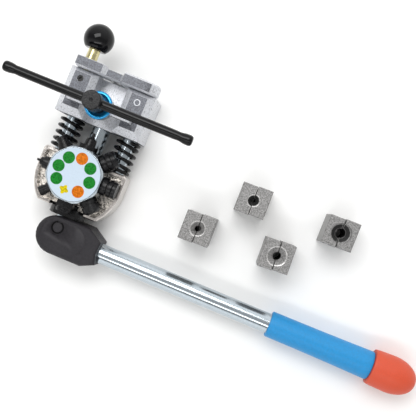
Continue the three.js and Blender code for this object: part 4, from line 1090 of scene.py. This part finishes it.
class FLARING_OT_dies(bpy.types.Operator):
    """Build the four split clamping dies"""

    bl_idname = "flaring.dies"
    bl_label = "Split dies"

    def execute(self, context):
        sizes = context.scene.flaring_tool_sizes
        for letter in "abcd":
            halves = [f"die_{letter}_left", f"die_{letter}_right"]
            axis = middle(*halves)

            def choose(face):
                spot = face.calc_center_median()
                away = Vector((spot.x - axis.x, spot.y - axis.y, 0))
                inward = face.normal.dot(away) < -0.3 * away.length
                deep = spot.z < axis.z * 2 - 4 * MM
                # Deep inward faces of the bore take the painted shade.
                return 1 if inward and deep and away.length < 9 * MM else 0

            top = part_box(halves[0])[1].z
            for node in halves:
                bm = from_frame(node, sizes.die_edge, choose)
                for face in bm.faces:
                    spot = face.calc_center_median()
                    reach = math.hypot(spot.x - axis.x, spot.y - axis.y)
                    # Slanted faces round the mouth take the painted highlight.
                    slanted = 0.2 < face.normal.z < 0.95
                    if slanted and reach < sizes.die_mouth and spot.z > top - 3 * MM:
                        face.material_index = 2
                materials = ["sintered_steel", "sintered_bore", "rubbed_rim"]
                add_piece(f"{node}_sintered", bm, materials, node)
        return {"FINISHED"}


# ---------------------------------------------------------------- stage


class FLARING_OT_stage(bpy.types.Operator):
    """Lay the floor, hang the softboxes and set up the camera"""

    bl_idname = "flaring.stage"
    bl_label = "Stage"

    def execute(self, context):
        scene = context.scene
        stage = scene.flaring_tool_stage
        scene.view_settings.view_transform = "Standard"
        self.floor()
        self.room(scene, stage.room)
        aim = Vector(stage.aim)
        for name, offset, size, power in SOFTBOXES:
            self.softbox(name, aim + Vector(offset), aim, size, getattr(stage, power))
        self.camera(scene, stage)
        return {"FINISHED"}

    def floor(self):
        """A round sheet of paper just under the tool, wide enough for any view."""
        sheet = cylinder(FLOOR_RADIUS, -FLOOR_THICKNESS, 0)
        bm = turned(sheet, (0, 0, -FLOOR_DROP), "Z", 96)
        floor = add_object("studio_floor", bm, ["studio_paper"])

    def room(self, scene, strength):
        """Soft light in bands beside the handle: dim overhead, a dark flag and a pale horizon."""
        world = bpy.data.worlds.new("studio_room")
        scene.world = world
        world.use_nodes = True
        tree = world.node_tree
        tree.nodes.clear()
        place = add_node(tree, "ShaderNodeTexCoord")
        parts = add_node(tree, "ShaderNodeSeparateXYZ", {0: place.outputs["Generated"]})
        side = add_node(tree, "ShaderNodeMapRange", {"Value": parts.outputs["Y"], "From Min": -1.0})
        ramp = add_node(tree, "ShaderNodeValToRGB", {0: side.outputs[0]})
        stops = ramp.color_ramp.elements
        for position, _ in ROOM_BANDS[1:-1]:
            stops.new(position)
        for stop, (position, bright) in zip(stops, ROOM_BANDS):
            stop.position = position
            stop.color = (bright, bright, bright, 1.0)
        ends = {"From Min": 0.06, "From Max": 0.3, "To Min": 0.9, "To Max": 0.0}
        low = add_node(tree, "ShaderNodeMapRange", {"Value": parts.outputs["Z"], **ends})
        pair = {0: ramp.outputs[0], 1: low.outputs[0]}
        both = add_node(tree, "ShaderNodeMath", pair, operation="MAXIMUM")
        glow = {"Color": both.outputs[0], "Strength": strength}
        light = add_node(tree, "ShaderNodeBackground", glow)
        add_node(tree, "ShaderNodeOutputWorld", {"Surface": light.outputs[0]})

    def softbox(self, name, place, aim, size, power):
        """A rectangular area light that faces a point."""
        data = bpy.data.lights.new(name, "AREA")
        data.shape = "RECTANGLE"
        data.size, data.size_y = size
        data.energy = power
        light = bpy.data.objects.new(name, data)
        light.location = place
        light.rotation_euler = (aim - place).to_track_quat("-Z", "Y").to_euler()
        bpy.context.scene.collection.objects.link(light)

    def camera(self, scene, stage):
        """The camera above the tool, turned so that the handle runs down to the right."""
        eye, aim = Vector(stage.eye), Vector(stage.aim)
        back = (eye - aim).normalized()
        right = Vector((math.cos(stage.turn), math.sin(stage.turn), 0))
        right = (right - back * right.dot(back)).normalized()
        up = back.cross(right)
        data = bpy.data.cameras.new("camera")
        data.sensor_width = 36
        data.lens = stage.lens
        data.clip_start = 0.01
        camera = bpy.data.objects.new("camera", data)
        turned_view = Matrix((right, up, back)).transposed().to_4x4()
        camera.matrix_world = Matrix.Translation(eye) @ turned_view
        scene.collection.objects.link(camera)
        scene.camera = camera


# ---------------------------------------------------------------- panel and registration

OPERATORS = (
    FLARING_OT_yoke,
    FLARING_OT_gate,
    FLARING_OT_guides,
    FLARING_OT_rod,
    FLARING_OT_clamp,
    FLARING_OT_lock,
    FLARING_OT_carriage,
    FLARING_OT_turret,
    FLARING_OT_punches,
    FLARING_OT_lever,
    FLARING_OT_handle,
    FLARING_OT_dies,
    FLARING_OT_stage,
)


class FLARING_PT_panel(bpy.types.Panel):
    """Settings and pieces of the flaring tool"""

    bl_idname = "FLARING_PT_panel"
    bl_label = "Flaring tool"
    bl_space_type = "VIEW_3D"
    bl_region_type = "UI"
    bl_category = "Flaring tool"

    def draw(self, context):
        layout = self.layout
        for operator in OPERATORS:
            layout.operator(operator.bl_idname)
        scene = context.scene
        sizes, colours = scene.flaring_tool_sizes, scene.flaring_tool_colours
        for settings in (sizes, colours, scene.flaring_tool_stage):
            box = layout.box()
            for name in settings.__annotations__:
                box.prop(settings, name)


CLASSES = (FlaringToolSizes, FlaringToolColours, FlaringToolStage, *OPERATORS, FLARING_PT_panel)


def register():
    """Registers the classes and hangs the settings on the scene."""
    for cls in CLASSES:
        bpy.utils.register_class(cls)
    bpy.types.Scene.flaring_tool_sizes = bpy.props.PointerProperty(type=FlaringToolSizes)
    bpy.types.Scene.flaring_tool_colours = bpy.props.PointerProperty(type=FlaringToolColours)
    bpy.types.Scene.flaring_tool_stage = bpy.props.PointerProperty(type=FlaringToolStage)


def unregister():
    """Takes the settings and the classes away again."""
    del bpy.types.Scene.flaring_tool_stage
    del bpy.types.Scene.flaring_tool_colours
    del bpy.types.Scene.flaring_tool_sizes
    for cls in reversed(CLASSES):
        bpy.utils.unregister_class(cls)


def main():
    """Builds every piece and the stage."""
    register()
    for operator in OPERATORS:
        group, name = operator.bl_idname.split(".")
        getattr(getattr(bpy.ops, group), name)()
    bpy.context.view_layer.update()


if __name__ == "__main__":
    main()
